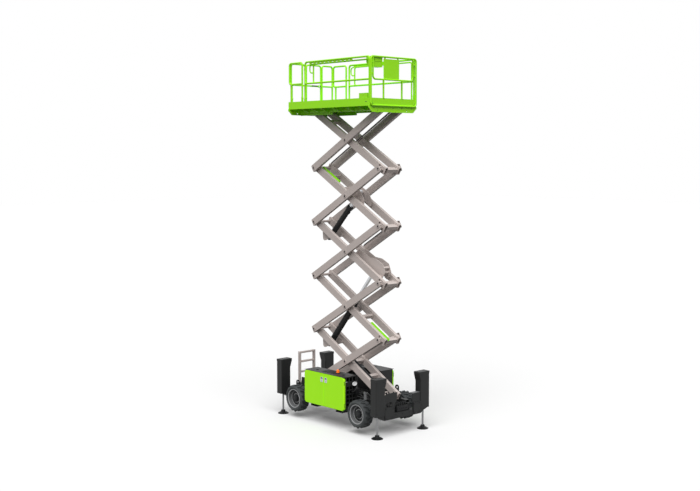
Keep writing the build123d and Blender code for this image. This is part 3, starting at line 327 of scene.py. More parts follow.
def lime_tread():
    """Lime enamel on chequer plate: raised lozenges 30 mm apart, each across the next, rubbed lighter."""
    material, tree = new_material("lime enamel on chequer plate")
    pitch = scale_for(30)
    place = add_node(tree, "ShaderNodeTexCoord").outputs["Object"]
    cells = add_node(tree, "ShaderNodeMapping", {"Vector": place, "Rotation": (0, 0, math.radians(45)),
                                                 "Scale": (pitch, pitch, 1)}).outputs["Vector"]
    parity = add_node(tree, "ShaderNodeTexChecker", {"Vector": cells, "Scale": 1.0}).outputs["Fac"]
    part = add_node(tree, "ShaderNodeVectorMath", {0: cells}, operation="FRACTION").outputs["Vector"]
    inside = add_node(tree, "ShaderNodeVectorMath", {0: part, 1: (0.5, 0.5, 0.0)}, operation="SUBTRACT")
    reach = []
    for stretch in ((1.0, 3.4, 0.0), (3.4, 1.0, 0.0)):
        squeezed = add_node(tree, "ShaderNodeVectorMath", {0: inside.outputs["Vector"], 1: stretch},
                            operation="MULTIPLY")
        reach.append(add_node(tree, "ShaderNodeVectorMath", {0: squeezed.outputs["Vector"]},
                              operation="LENGTH").outputs["Value"])
    nearest = add_node(tree, "ShaderNodeMix", {"Factor": parity, 2: reach[0], 3: reach[1]},
                       data_type="FLOAT").outputs[0]
    lozenge = add_node(tree, "ShaderNodeMapRange", {"Value": nearest, "From Min": 0.46,
                                                    "From Max": 0.34}).outputs["Result"]
    surface(material, lozenge, (0.5, 0.36), (linear("#8AD612"), linear("#A2F21F")), (lozenge, 0.8, 3),
            {"Specular IOR Level": 0.25})
    return material


OTHER_FINISHES = {
    "chrome": hard_chrome, "tyre": tyre_rubber, "lens": beacon_lens, "lamp glass": lamp_glass,
    "hose": hose_rubber, "polyamide": moulded_black, "white": white_plastic, "tread": lime_tread,
}
# the record's material slot that a finish belongs to, and the finish that a slot gives its CAD nodes
FINISH_OF = {
    "frame_black": "black", "arm_taupe": "taupe", "lime_green": "lime", "rod_chrome": "chrome",
    "rim_grey": "disc grey", "tyre_rubber": "tyre", "beacon_orange": "lens", "hose_black": "hose",
}
made_finishes = {}


def finish(key):
    """The finish of that name, made once."""
    if key not in made_finishes:
        if key in PAINTS:
            made_finishes[key] = powder_coat(key)
        elif key in METALS:
            made_finishes[key] = bare_metal(key)
        else:
            made_finishes[key] = OTHER_FINISHES[key]()
    return made_finishes[key]


# ---------------------------------------------------------------- shapes
def turned(axis):
    """Rotation that takes Z to an axis."""
    return Vector(axis).to_track_quat("Z", "Y").to_matrix().to_4x4()


def once(parts):
    """Each part once, in the order given."""
    return list(dict.fromkeys(parts))


def round_edges(shape, edges, width):
    """Small round along the edges."""
    bmesh.ops.bevel(shape, geom=once(edges), offset=width, offset_type="OFFSET", affect="EDGES",
                    segments=2, profile=0.5, material=-1)


def add_slug(shape, centre, axis, radius, depth, sides=24, bevel=0.0, top=None):
    """Round slug, or with six sides a bolt head, its middle at centre; top is the radius of its far end."""
    made = bmesh.ops.create_cone(shape, cap_ends=True, segments=sides, radius1=radius,
                                 radius2=radius if top is None else top, depth=depth,
                                 matrix=Matrix.Translation(Vector(centre)) @ turned(axis))
    if bevel:
        caps = once(face for vert in made["verts"] for face in vert.link_faces if len(face.verts) == sides)
        round_edges(shape, (edge for face in caps for edge in face.edges), bevel)


def add_block(shape, low, high, bevel=0.0):
    """Block between two corners, with rounded edges."""
    low, high = Vector(low), Vector(high)
    place = Matrix.Translation((low + high) / 2) @ Matrix.Diagonal((*(high - low), 1))
    made = bmesh.ops.create_cube(shape, size=1, matrix=place)
    if bevel:
        round_edges(shape, (edge for vert in made["verts"] for edge in vert.link_edges), bevel)


def add_ring(shape, centre, axis, radius, thickness, steps=24, sides=6):
    """Round ring: a small circle spun about an axis."""
    centre, axis = Vector(centre), Vector(axis).normalized()
    across = axis.orthogonal().normalized()
    place = Matrix.Translation(centre + across * radius) @ turned(axis.cross(across))
    start = bmesh.ops.create_circle(shape, segments=sides, radius=thickness, matrix=place)
    edges = once(edge for vert in start["verts"] for edge in vert.link_edges)
    bmesh.ops.spin(shape, geom=start["verts"] + edges, cent=centre, axis=axis, angle=2 * math.pi,
                   steps=steps, use_merge=True)


def add_pipe(shape, points, radius):
    """Bent steel pipe or rod whose smooth line is drawn by the points."""
    line = bpy.data.curves.new("pipe line", "CURVE")
    line.dimensions = "3D"
    line.bevel_depth = radius
    line.bevel_resolution = 3
    line.resolution_u = 8
    line.use_fill_caps = True
    spline = line.splines.new("NURBS")
    spline.points.add(len(points) - 1)
    for knot, point in zip(spline.points, points):
        knot.co = (*point, 1)
    spline.order_u = 3
    spline.use_endpoint_u = True
    holder = bpy.data.objects.new("pipe line", line)
    mesh = bpy.data.meshes.new_from_object(holder)
    shape.from_mesh(mesh)
    bpy.data.objects.remove(holder)
    bpy.data.curves.remove(line)
    bpy.data.meshes.remove(mesh)


def around(centre, axis, radius, count, start=0.0):
    """Points evenly spaced on a circle about an axis."""
    centre, axis = Vector(centre), Vector(axis).normalized()
    across = axis.orthogonal().normalized() * radius
    turns = [start + 2 * math.pi * step / count for step in range(count)]
    return [centre + Matrix.Rotation(turn, 3, axis) @ across for turn in turns]


def add_bolt(shape, place, axis, size):
    """Hexagon bolt head on a washer, standing out along the axis; size is about half its width."""
    place, axis = Vector(place), Vector(axis).normalized()
    add_slug(shape, place + axis * size * 0.1, axis, size * 1.05, size * 0.2, 12)
    add_slug(shape, place + axis * size * 0.52, axis, size * 0.85, size * 0.64, 6, size * 0.1)


def put(name, shape, key, body):
    """Make the finished shape an object of that finish, which rides on a body."""
    bmesh.ops.recalc_face_normals(shape, faces=shape.faces)
    data = bpy.data.meshes.new(name)
    shape.to_mesh(data)
    shape.free()
    data.materials.append(finish(key))
    data.polygons.foreach_set("use_smooth", [True] * len(data.polygons))
    data.set_sharp_from_angle(angle=math.radians(32))
    piece = bpy.data.objects.new(name, data)
    bpy.context.collection.objects.link(piece)
    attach(piece, body)
    return piece


# ---------------------------------------------------------------- properties
class ScissorLiftStage(bpy.types.PropertyGroup):
    """Camera and lights"""
    camera_place: bpy.props.FloatVectorProperty(
        name="Camera place", description="Where the camera stands", size=3, subtype="TRANSLATION",
        unit="LENGTH", default=(20.362, -18.403, 6.700))
    camera_down: bpy.props.FloatProperty(
        name="Tilt", description="How far the camera looks down", default=math.radians(4.666),
        unit="ROTATION")
    camera_turn: bpy.props.FloatProperty(
        name="Turn", description="Heading of the camera about the vertical", default=math.radians(47.943),
        unit="ROTATION")
    camera_lens: bpy.props.FloatProperty(
        name="Lens", description="Focal length on a 36 mm wide sensor", default=56.455, unit="CAMERA")
    room_light: bpy.props.FloatProperty(
        name="Room light", description="Strength of the even light from all round", default=0.46, min=0)
    key_strength: bpy.props.FloatProperty(
        name="Key light", description="Strength of the high soft light, in watts on a square metre",
        default=3.5, min=0)
    key_width: bpy.props.FloatProperty(
        name="Key width", description="How wide the high soft light looks from the machine",
        default=math.radians(60), min=0, unit="ROTATION")


class ScissorLiftParts(bpy.types.PropertyGroup):
    """Sizes of small parts"""
    guard_pitch: bpy.props.FloatProperty(
        name="Guard pitch", description="Distance between the turns of a hose guard", default=0.026,
        min=0.01, unit="LENGTH")
    tube_growth: bpy.props.FloatProperty(
        name="Tube growth", description="How much fuller the skin of the guard rails stands",
        default=0.0045, min=0.0, max=0.008, unit="LENGTH")
    catch_width: bpy.props.FloatProperty(
        name="Catch width", description="Width of a door catch", default=0.095, min=0.02, unit="LENGTH")
    catch_height: bpy.props.FloatProperty(
        name="Catch height", description="Height of a door catch", default=0.125, min=0.02, unit="LENGTH")


def shade(name, description, hex_colour):
    """Colour property with an sRGB hex default."""
    return bpy.props.FloatVectorProperty(name=name, description=description, size=4, subtype="COLOR",
                                         min=0, max=1, default=linear(hex_colour))


class ScissorLiftColours(bpy.types.PropertyGroup):
    """Colours of the three main paints, each between two shades"""
    lime_dark: shade("Lime, darker", "Darker shade of rails and deck", PAINTS["lime"][1])
    lime_light: shade("Lime, lighter", "Lighter shade of rails and deck", PAINTS["lime"][2])
    taupe_dark: shade("Taupe, darker", "Darker shade of the scissor arms", PAINTS["taupe"][1])
    taupe_light: shade("Taupe, lighter", "Lighter shade of the scissor arms", PAINTS["taupe"][2])
    black_dark: shade("Black, darker", "Darker shade of the chassis", PAINTS["black"][1])
    black_light: shade("Black, lighter", "Lighter shade of the chassis", PAINTS["black"][2])


# ---------------------------------------------------------------- operators
class SCISSORLIFT_OT_stage(bpy.types.Operator):
    """Camera, pale floor and soft lights"""
    bl_idname = "scissorlift.stage"
    bl_label = "Stage"

    def execute(self, context):
        stage = context.scene.scissor_lift_stage
        self.camera(context, stage)
        self.floor(context)
        self.room(context.scene, stage.room_light)
        self.key_light(context, stage)
        context.scene.view_settings.view_transform = "Standard"
        return {"FINISHED"}

    def camera(self, context, stage):
        """Camera far off and high up, looking a little down."""
        lens = bpy.data.cameras.new("studio camera")
        lens.sensor_width = 36
        lens.lens = stage.camera_lens
        lens.clip_end = 400
        camera = bpy.data.objects.new("studio camera", lens)
        camera.location = stage.camera_place
        camera.rotation_euler = (math.pi / 2 - stage.camera_down, 0, stage.camera_turn)
        context.collection.objects.link(camera)
        context.scene.camera = camera

    def floor(self, context):
        """Wide pale floor that takes the shadow and throws little light back on the machine."""
        mesh = bmesh.new()
        bmesh.ops.create_grid(mesh, x_segments=1, y_segments=1, size=120)
        data = bpy.data.meshes.new("studio floor")
        mesh.to_mesh(data)
        mesh.free()
        floor = bpy.data.objects.new("studio floor", data)
        context.collection.objects.link(floor)
        material, tree = new_material("matt white studio floor")
        pale = add_node(tree, "ShaderNodeBsdfDiffuse", {"Color": linear("#DADADA")})
        glow = add_node(tree, "ShaderNodeEmission", {"Color": (1, 1, 1, 1), "Strength": 0.06})
        lit = add_node(tree, "ShaderNodeAddShader", {0: pale.outputs["BSDF"], 1: glow.outputs["Emission"]})
        bounce = add_node(tree, "ShaderNodeBsdfDiffuse", {"Color": linear("#444444")})
        pick = add_node(tree, "ShaderNodeMixShader", {0: seen_rays(tree), 1: bounce.outputs["BSDF"],
                                                      2: lit.outputs["Shader"]})
        add_node(tree, "ShaderNodeOutputMaterial", {"Surface": pick.outputs["Shader"]})
        data.materials.append(material)

    def room(self, scene, strength):
        """Even light from all round, white where it is seen or mirrored."""
        world = bpy.data.worlds.new("studio room")
        scene.world = world
        world.use_nodes = True
        tree = world.node_tree
        tree.nodes.clear()
        dim = add_node(tree, "ShaderNodeBackground", {"Color": (1, 1, 1, 1), "Strength": strength})
        bright = add_node(tree, "ShaderNodeBackground", {"Color": (1, 1, 1, 1), "Strength": 1.0})
        pick = add_node(tree, "ShaderNodeMixShader", {0: seen_rays(tree), 1: dim.outputs["Background"],
                                                      2: bright.outputs["Background"]})
        add_node(tree, "ShaderNodeOutputWorld", {"Surface": pick.outputs["Shader"]})

    def key_light(self, context, stage):
        """High light from the right of the camera, as wide as a large softbox looks from the machine."""
        lamp = bpy.data.lights.new("key light", "SUN")
        lamp.angle = stage.key_width
        lamp.energy = stage.key_strength
        light = bpy.data.objects.new("key light", lamp)
        light.location = (0, 0, 14)
        towards = Vector((0.47, -0.48, 0.97))
        light.rotation_euler = (-towards).to_track_quat("-Z", "Y").to_euler()
        context.collection.objects.link(light)


class SCISSORLIFT_OT_finishes(bpy.types.Operator):
    """Paint, chrome and rubber on the CAD nodes"""
    bl_idname = "scissorlift.finishes"
    bl_label = "Finishes"

    def execute(self, context):
        slots = {row["node"]: row["material_slot"] for row in frame["record"]["subparts"]}
        for name, node in frame["nodes"].items():
            node.data.materials.clear()
            node.data.materials.append(finish(FINISH_OF[slots[name]]))
        own = {"engine_block": "cast grey", "scissor_front_mounts": "black"}
        own.update({name: "satin black" for name in ("lower_barrel", "upper_barrel", "front_axle",
                                                     "rear_axle", "knuckle_right", "knuckle_left")})
        # the doors take the brighter lime, painted light
        own.update({f"door_{side_name}_{end}": "door lime" for end in ENDS for side_name in SIDES})
        for name, key in own.items():
            frame["nodes"][name].data.materials[0] = finish(key)
        self.corners()
        self.arms()
        self.top_faces()
        self.small_works()
        return {"FINISHED"}

    def corners(self):
        """Rods and feet of the jacks, the rims' well in painted shade, and their lip."""
        well_radius, lip_y = 0.192, 0.856
        for end in ENDS:
            for side_name, side in SIDES.items():
                self.cover(f"jack_{end}_{side_name}", "rod", lambda spot, way: spot.z > FOOT_TOP_Z)
                self.cover(f"jack_{end}_{side_name}", "foot black", lambda spot, way: spot.z <= FOOT_TOP_Z)
                # the rims' well gets a darker grey, painted shade
                self.cover(f"rim_{end}_{side_name}", "rim well painted shade", lambda spot, way: well_radius
                           < math.hypot(spot.x - WHEEL_X[end], spot.z - WHEEL_Z))
                self.cover(f"rim_{end}_{side_name}", "rim grey", lambda spot, way: side * spot.y > lip_y)

    def arms(self):
        """Lime bracket on two inner arms, and painted shade on the open ends of all arms, whose end faces go
        satin black.
        """
        bracket_y, bracket_off, half_arm = (-0.181, -0.136), (0.056, 0.114), 0.036
        for stage in (2, 4):
            self.cover(f"inner_arm_{stage}", "lime", lambda spot, way: bracket_y[0] < spot.y < bracket_y[1]
                       and bracket_off[0] < arm_off("inner", stage, spot) < bracket_off[1])
        for stage in range(1, STAGES + 1):
            for kind, middle_y in ARM_MIDDLE_Y.items():
                # end faces of the arms in satin black: painted shade of the open tubes
                self.cover(f"{kind}_arm_{stage}", "satin black",
                           lambda spot, way: abs(way.dot(arm_way(kind))) > SQUARELY
                           and near(abs(spot.y), middle_y, half_arm))

    def top_faces(self):
        """Painted light on the step's top on the front cover, and chequer plate on both decks."""
        step_y, step_z = 0.33, 0.9
        # upward faces of the step turn grey: painted light
        self.cover("front_cover", "step painted light",
                   lambda spot, way: way.z > ROUGHLY and spot.y > step_y and spot.z > step_z)
        self.cover("platform_deck", "tread",
                   lambda spot, way: way.z > SQUARELY and DECK_Z - 0.010 < spot.z < DECK_Z + 0.005)
        self.cover("extension_deck", "tread",
                   lambda spot, way: way.z > SQUARELY and spot.z < DECK_Z + 0.015)

    def small_works(self):
        """Lens of the work lamp and lock of the right hood, and a casting on the right frame rail."""
        lock_x, lock_y, lock_z = 0.684, -0.776, 1.2
        casting_x, rail_side_y, rail_top_z = 1.0, -0.384, 0.772
        self.cover("hood_right", "lamp glass",
                   lambda spot, way: spot.x > WORK_LAMP.x - 0.004 and way.x > ROUGHLY
                   and near(spot.y, WORK_LAMP.y, 0.08) and near(spot.z, WORK_LAMP.z, 0.05))
        self.cover("hood_right", "zinc",
                   lambda spot, way: spot.x > lock_x and near(spot.y, lock_y, 0.03)
                   and near(spot.z, lock_z, 0.02))
        self.cover("chassis_frame", "cast grey",
                   lambda spot, way: near(spot.x, casting_x, 0.06) and spot.y < rail_side_y
                   and spot.z > rail_top_z)

    def cover(self, name, key, fits):
        """Give a node's faces that fit the test, by their middle and outward way, another finish."""
        data = frame["nodes"][name].data
        if finish(key).name not in data.materials:
            data.materials.append(finish(key))
        index = data.materials.find(finish(key).name)
        for face in data.polygons:
            if fits(face.center, face.normal):
                face.material_index = index


class SCISSORLIFT_OT_wheels(bpy.types.Operator):
    """Hub drums, pilot and bead rings, wheel bolts and valve stems"""
    bl_idname = "scissorlift.wheels"
    bl_label = "Wheel trim"

    def execute(self, context):
        for end in ENDS:
            for side_name, side in SIDES.items():
                hub = Vector((WHEEL_X[end], 0, WHEEL_Z))
                self.trim(f"{end}_{side_name}", hub, Vector((0, side, 0)))
        return {"FINISHED"}

    def trim(self, corner, hub, out):
        """Small parts of one wheel, placed along its axle from the machine's middle plane."""
        body = f"wheel_{corner}"
        drum, pilot, bolts, beads, stem = (bmesh.new() for _ in range(5))
        # drum and its cap; columns: distance out, radius, depth, edge
        for distance, radius, depth, edge in ((0.800, 0.086, 0.052, 0.006), (0.829, 0.060, 0.018, 0.005)):
            add_slug(drum, hub + out * distance, out, radius, depth, 32, edge)
        put(f"hub_drum_{corner}", drum, "satin black", body)
        add_ring(pilot, hub + out * 0.776, out, 0.113, 0.0065, 64, 8)
        put(f"pilot_ring_{corner}", pilot, "rim grey", body)
        # bolts of the disc and of the drum's cap; columns: distance out, radius of the circle, count, size
        for distance, radius, count, size in ((0.7735, 0.147, 10, 0.016), (0.826, 0.073, 8, 0.008)):
            for spot in around(hub + out * distance, out, radius, count):
                add_bolt(bolts, spot, out, size)
        put(f"wheel_bolts_{corner}", bolts, "black bolt", body)
        # outer and inner bead seat; columns: distance out, radius, thickness
        for distance, radius, thickness in ((0.861, 0.232, 0.0055), (0.776, 0.186, 0.005)):
            add_ring(beads, hub + out * distance, out, radius, thickness, 64, 8)
        put(f"bead_ring_{corner}", beads, "rim grey", body)
        # valve stem and its cap; columns: distance out of the disc, radius, length, edge
        root = hub + out * 0.775 + UP * 0.166
        for distance, radius, length, edge in ((0.020, 0.006, 0.040, 0.001), (0.045, 0.0075, 0.018, 0.002)):
            add_slug(stem, root + out * distance, out, radius, length, 12, edge)
        put(f"valve_stem_{corner}", stem, "black bolt", body)


class SCISSORLIFT_OT_pins(bpy.types.Operator):
    """Keeper bolts and weld beads at the scissor pins"""
    bl_idname = "scissorlift.pins"
    bl_label = "Scissor pins"

    def execute(self, context):
        pin_weld_y, sleeve_weld_y = 0.3572, 0.1852
        for stage in range(1, STAGES + 1):
            bolts, beads, sleeves = (bmesh.new() for _ in range(3))
            z = BASE_PIN_Z + (stage - 1) * RISE
            rear, middle, front = (REAR_PIN_X, z), (MID_PIN_X, z + RISE / 2), (FRONT_PIN_X, z + RISE)
            # the first rear end runs in a track, and the last front end hangs on the platform's lug
            welded = (middle, front) if stage == 1 else (rear, middle, front)
            for x, height in welded:
                for side in SIDES.values():
                    out = Vector((0, side, 0))
                    if not (stage == STAGES and (x, height) == front):
                        self.keeper(bolts, Vector((x, side * PIN_FACE_Y, height)), out)
                    self.weld(beads, (x, side * pin_weld_y, height), out)
            put(f"pin_bolts_{stage}", bolts, "black bolt", f"outer_arm_{stage}")
            put(f"pin_welds_{stage}", beads, "taupe", f"outer_arm_{stage}")
            for along in (0, ARM / 2, ARM):
                x, height = arm_point("inner", stage, along)
                for side in SIDES.values():
                    self.weld(sleeves, (x, side * sleeve_weld_y, height), (0, side, 0))
            put(f"sleeve_welds_{stage}", sleeves, "taupe", f"inner_arm_{stage}")
        return {"FINISHED"}

    def keeper(self, shape, centre, out):
        """Bolt in the middle of a pin's head, between two dowels."""
        add_bolt(shape, centre, out, 0.020)
        for spot in around(centre, out, 0.034, 2, 0.6):
            add_slug(shape, spot + out * 0.0015, out, 0.005, 0.005, 10, 0.001)

    def weld(self, shape, centre, out):
        """Weld bead round a pin or sleeve."""
        add_ring(shape, centre, out, 0.054, 0.0045, 32, 6)


class SCISSORLIFT_OT_hoses(bpy.types.Operator):
    """Coil guards on the hoses that climb the stack"""
    bl_idname = "scissorlift.hoses"
    bl_label = "Hose guards"

    def execute(self, context):
        pitch = context.scene.scissor_lift_parts.guard_pitch
        hose_off, hose_y, coil_radius, wire_radius = 0.050, 0.155, 0.0145, 0.0042
        # columns: outer arm, where its guard starts and ends along the arm
        for stage, start, end in ((1, 1.62, 2.62), (3, 1.62, 2.62), (5, 0.19, 2.62)):
            guard = bmesh.new()
            for turn in range(int((end - start) / pitch) + 1):
                x, z = arm_point("outer", stage, start + turn * pitch, hose_off)
                add_ring(guard, (x, hose_y, z), arm_way("outer"), coil_radius, wire_radius, 10, 4)
            put(f"hose_guard_{stage}", guard, "polyamide", f"outer_arm_{stage}")
        return {"FINISHED"}


class SCISSORLIFT_OT_doors(bpy.types.Operator):
    """Door catches, seals and hinge pins, the work lamp's rim, beacon base, filler caps and louvres"""
    bl_idname = "scissorlift.doors"
    bl_label = "Doors and hoods"

    def execute(self, context):
        look = context.scene.scissor_lift_parts
        for side_name, side in SIDES.items():
            # columns: door, where its catch starts, and the ends of its seal
            for end, catch_x, seal_x in (("rear", -0.190, (-0.753, -0.081)),
                                         ("front", -0.035, (-0.049, 0.623))):
                self.catch(f"{side_name}_{end}", side, catch_x, look)
                seal = bmesh.new()
                y0, y1 = band(side, DOOR_FACE_Y - 0.049, DOOR_FACE_Y - 0.046)
                for z in (0.497, 1.292):
                    add_block(seal, (seal_x[0], y0, z - 0.006), (seal_x[1], y1, z + 0.006), 0.0012)
                put(f"door_seal_{side_name}_{end}", seal, "hose", f"door_{side_name}_{end}")
        self.hoods()
        return {"FINISHED"}

    def catch(self, door, side, x0, look):
        """Catch in a zinc dish: a black paddle above a round lock."""
        dish, paddle = bmesh.new(), bmesh.new()
        x1, z1 = x0 + look.catch_width, 1.215
        z0 = z1 - look.catch_height
        y0, y1 = band(side, DOOR_FACE_Y - 0.004, DOOR_FACE_Y + 0.005)
        add_block(dish, (x0, y0, z0), (x1, y1, z1), 0.003)
        raised = band(side, DOOR_FACE_Y + 0.004, DOOR_FACE_Y + 0.0075)
        add_block(dish, (x0 + 0.010, raised[0], z0 + 0.010), (x1 - 0.010, raised[1], z1 - 0.052), 0.002)
        put(f"catch_{door}", dish, "zinc", f"door_{door}")
        add_block(paddle, (x0 + 0.014, y0, z1 - 0.044), (x1 - 0.014, y1, z1 - 0.012), 0.002)
        lock = ((x0 + x1) / 2, side * (DOOR_FACE_Y + 0.007), z0 + 0.024)
        add_slug(paddle, lock, (0, side, 0), 0.009, 0.006, 20, 0.001)
        put(f"catch_paddle_{door}", paddle, "black bolt", f"door_{door}")

    def hoods(self):
        """Parts that stay on the hoods when the doors open."""
        rim, hinges, base, caps, louvres = (bmesh.new() for _ in range(5))
        add_ring(rim, WORK_LAMP, AHEAD, 0.052, 0.006, 40, 8)
        bmesh.ops.scale(rim, vec=(1, 1.35, 0.86), space=Matrix.Translation(-WORK_LAMP), verts=rim.verts)
        put("work_lamp_rim", rim, "white", "chassis")
        # two hinge pins at the outer end of each door
        for side in SIDES.values():
            for x in (-0.8165, 0.6865):
                for z in (0.62, 1.17):
                    add_slug(hinges, (x, side * 0.838, z), UP, 0.0065, 0.09, 14, 0.0015)
        put("door_hinge_pins", hinges, "black bolt", "chassis")
        add_slug(base, (0.148, -0.570, HOOD_TOP_Z + 0.0075), UP, 0.056, 0.015, 40, 0.003)
        put("beacon_base", base, "polyamide", "chassis")
        for x, y in ((-0.55, -0.64), (0.40, -0.62), (-0.45, 0.60)):
            add_slug(caps, (x, y, HOOD_TOP_Z + 0.006), UP, 0.034, 0.013, 28, 0.003)
        put("filler_caps", caps, "polyamide", "chassis")
        for side in SIDES.values():
            for step in range(7):
                x, y = -0.30 + step * 0.075, side * 0.62
                add_block(louvres, (x, y - 0.12, HOOD_TOP_Z - 0.0005),
                          (x + 0.018, y + 0.12, HOOD_TOP_Z + 0.0065), 0.003)
        put("hood_louvres", louvres, "black", "chassis")


class SCISSORLIFT_OT_oil_works(bpy.types.Operator):
    """Valve blocks, drive motors and steel oil pipes round the frame"""
    bl_idname = "scissorlift.oil_works"
    bl_label = "Oil works"

    def execute(self, context):
        blocks, fittings, pipes, tank, rear = (bmesh.new() for _ in range(5))
        self.manifold(blocks, fittings, pipes)
        # oil accumulator beside the manifold, and its collar
        add_slug(tank, (1.79, 0.245, 0.63), UP, 0.040, 0.136, 28, 0.008)
        add_slug(blocks, (1.79, 0.245, 0.712), UP, 0.044, 0.028, 28, 0.005)
        self.motor(blocks, 1.30, 1)
        add_slug(fittings, (1.40, 0.0, 0.562), UP, 0.016, 0.02, 6, 0.003)
        self.lift_valves(blocks, fittings, pipes)
        # valve blocks near black, painted shade of the openings they sit in
        put("oil_blocks", blocks, "works black painted shade", "chassis")
        put("oil_fittings", fittings, "black bolt", "chassis")
        put("oil_pipes", pipes, "polyamide", "chassis")
        # the accumulator takes the same painted shade
        put("oil_accumulator", tank, "works black painted shade", "chassis")
        self.motor(rear, -1.38, -1)
        put("rear_drive_motor", rear, "satin black", "chassis")
        return {"FINISHED"}

    def manifold(self, blocks, fittings, pipes):
        """Block on the front beam with five solenoids, their plugs and the pipes that leave them."""
        add_block(blocks, (1.725, -0.17, 0.562), (1.840, 0.20, 0.700), 0.006)
        for step in range(5):
            y = -0.135 + step * 0.072
            add_slug(blocks, (1.785, y, 0.735), UP, 0.023, 0.075, 20, 0.004)
            add_slug(fittings, (1.785, y, 0.779), UP, 0.012, 0.014, 6, 0.002)
            add_slug(fittings, (1.845, y, 0.630), AHEAD, 0.016, 0.012, 6, 0.002)
            add_pipe(pipes, ((1.720, y, 0.640), (1.66, y, 0.640), (1.60, y * 0.9, 0.66),
                             (1.58, y * 0.6, 0.74), (1.56, y * 0.5 - 0.02, 0.765)), 0.010)

    def motor(self, shape, x, away):
        """Drive motor on an axle: its drum, and a narrower end that points away from the axle."""
        add_slug(shape, (x, 0.0, WHEEL_Z), AHEAD, 0.085, 0.10, 32, 0.010)
        add_slug(shape, (x + away * 0.09, 0.0, WHEEL_Z), AHEAD, 0.062, 0.10, 32, 0.008)

    def lift_valves(self, blocks, fittings, pipes):
        """Valve block in front of the right hood, with pipes to the frame rail and back to the hood."""
        add_block(blocks, (0.686, -0.500, 0.86), (0.790, -0.430, 1.02), 0.005)
        for z in (0.875, 0.915, 0.955, 0.995):
            add_slug(fittings, (0.797, -0.465, z), AHEAD, 0.012, 0.016, 6, 0.002)
        add_pipe(pipes, ((0.795, -0.465, 0.875), (0.86, -0.465, 0.875), (0.90, -0.45, 0.85),
                         (0.93, -0.44, 0.80), (0.955, -0.435, 0.79)), 0.009)
        add_pipe(pipes, ((0.795, -0.465, 0.915), (0.90, -0.465, 0.915), (0.99, -0.455, 0.935),
                         (1.06, -0.43, 0.90), (1.09, -0.405, 0.80), (1.10, -0.372, 0.775)), 0.009)
        add_pipe(pipes, ((0.795, -0.465, 0.955), (0.95, -0.475, 0.98), (1.10, -0.46, 0.96),
                         (1.20, -0.43, 0.88), (1.22, -0.395, 0.79), (1.225, -0.375, 0.772)), 0.009)
        add_pipe(pipes, ((0.690, -0.60, 0.94), (0.78, -0.60, 0.95), (0.82, -0.55, 1.06),
                         (0.79, -0.50, 1.08), (0.740, -0.465, 1.07), (0.735, -0.465, 1.018)), 0.011)


class SCISSORLIFT_OT_outriggers(bpy.types.Operator):
    """Gland rings, foot collars and cover bolts of the jacks"""
    bl_idname = "scissorlift.outriggers"
    bl_label = "Outrigger trim"

    def execute(self, context):
        bolts, glands = bmesh.new(), bmesh.new()
        for end, ahead in ENDS.items():
            for side_name, side in SIDES.items():
                jack = Vector((ahead * JACK_X, side * JACK_Y, 0))
                collar = bmesh.new()
                # collars round the rod and the foot's neck; columns: height, radius, thickness
                for height, radius, thickness in ((0.090, 0.034, 0.009), (0.050, 0.059, 0.005)):
                    add_ring(collar, jack + UP * height, UP, radius, thickness, 40, 8)
                for spot in around(jack + UP * 0.0225, UP, 0.118, 4, math.pi / 4):
                    add_bolt(collar, spot, UP, 0.010)
                put(f"foot_collar_{end}_{side_name}", collar, "black bolt", f"jack_{end}_{side_name}")
                add_ring(glands, jack + UP * 0.536, UP, 0.033, 0.008, 32, 8)
                for y in (0.640, 0.868):
                    for z in (0.62, 1.36):
                        add_bolt(bolts, (ahead * 1.880, side * y, z), (ahead, 0, 0), 0.011)
        put("jack_glands", glands, "polyamide", "chassis")
        put("housing_bolts", bolts, "black bolt", "chassis")
        return {"FINISHED"}


class SCISSORLIFT_OT_frame_trim(bpy.types.Operator):
    """Ladder treads, towing bow and cover bolts"""
    bl_idname = "scissorlift.frame_trim"
    bl_label = "Frame trim"

    def execute(self, context):
        treads, bow, bolts = (bmesh.new() for _ in range(3))
        # eight ridges across each rung
        for z in (0.760, 1.030, 1.300, 1.542):
            for step in range(8):
                y = -0.205 + step * 0.0555
                add_block(treads, (-1.758, y, z + 0.0230), (-1.726, y + 0.024, z + 0.0285), 0.0012)
        put("ladder_treads", treads, "taupe", "chassis")
        x, y0, y1 = 1.835, -0.600, -0.480
        for y in (y0, y1):
            add_slug(bow, (x, y, 1.048), UP, 0.013, 0.060, 16, 0.003)
        add_pipe(bow, ((x, y0, 1.070), (x, y0, 1.098), (x, y0 + 0.030, 1.106),
                       (x, y1 - 0.030, 1.106), (x, y1, 1.098), (x, y1, 1.070)), 0.014)
        put("towing_bow", bow, "taupe", "chassis")
        for y in (-0.570, -0.330, 0.387, 0.570):
            for z in (0.478, 0.692):
                add_bolt(bolts, (1.878, y, z), AHEAD, 0.013)
        for y in (-0.22, 0.0, 0.24):
            add_bolt(bolts, (1.862, y, 0.51), AHEAD, 0.012)
        put("cover_bolts", bolts, "black bolt", "chassis")
        return {"FINISHED"}


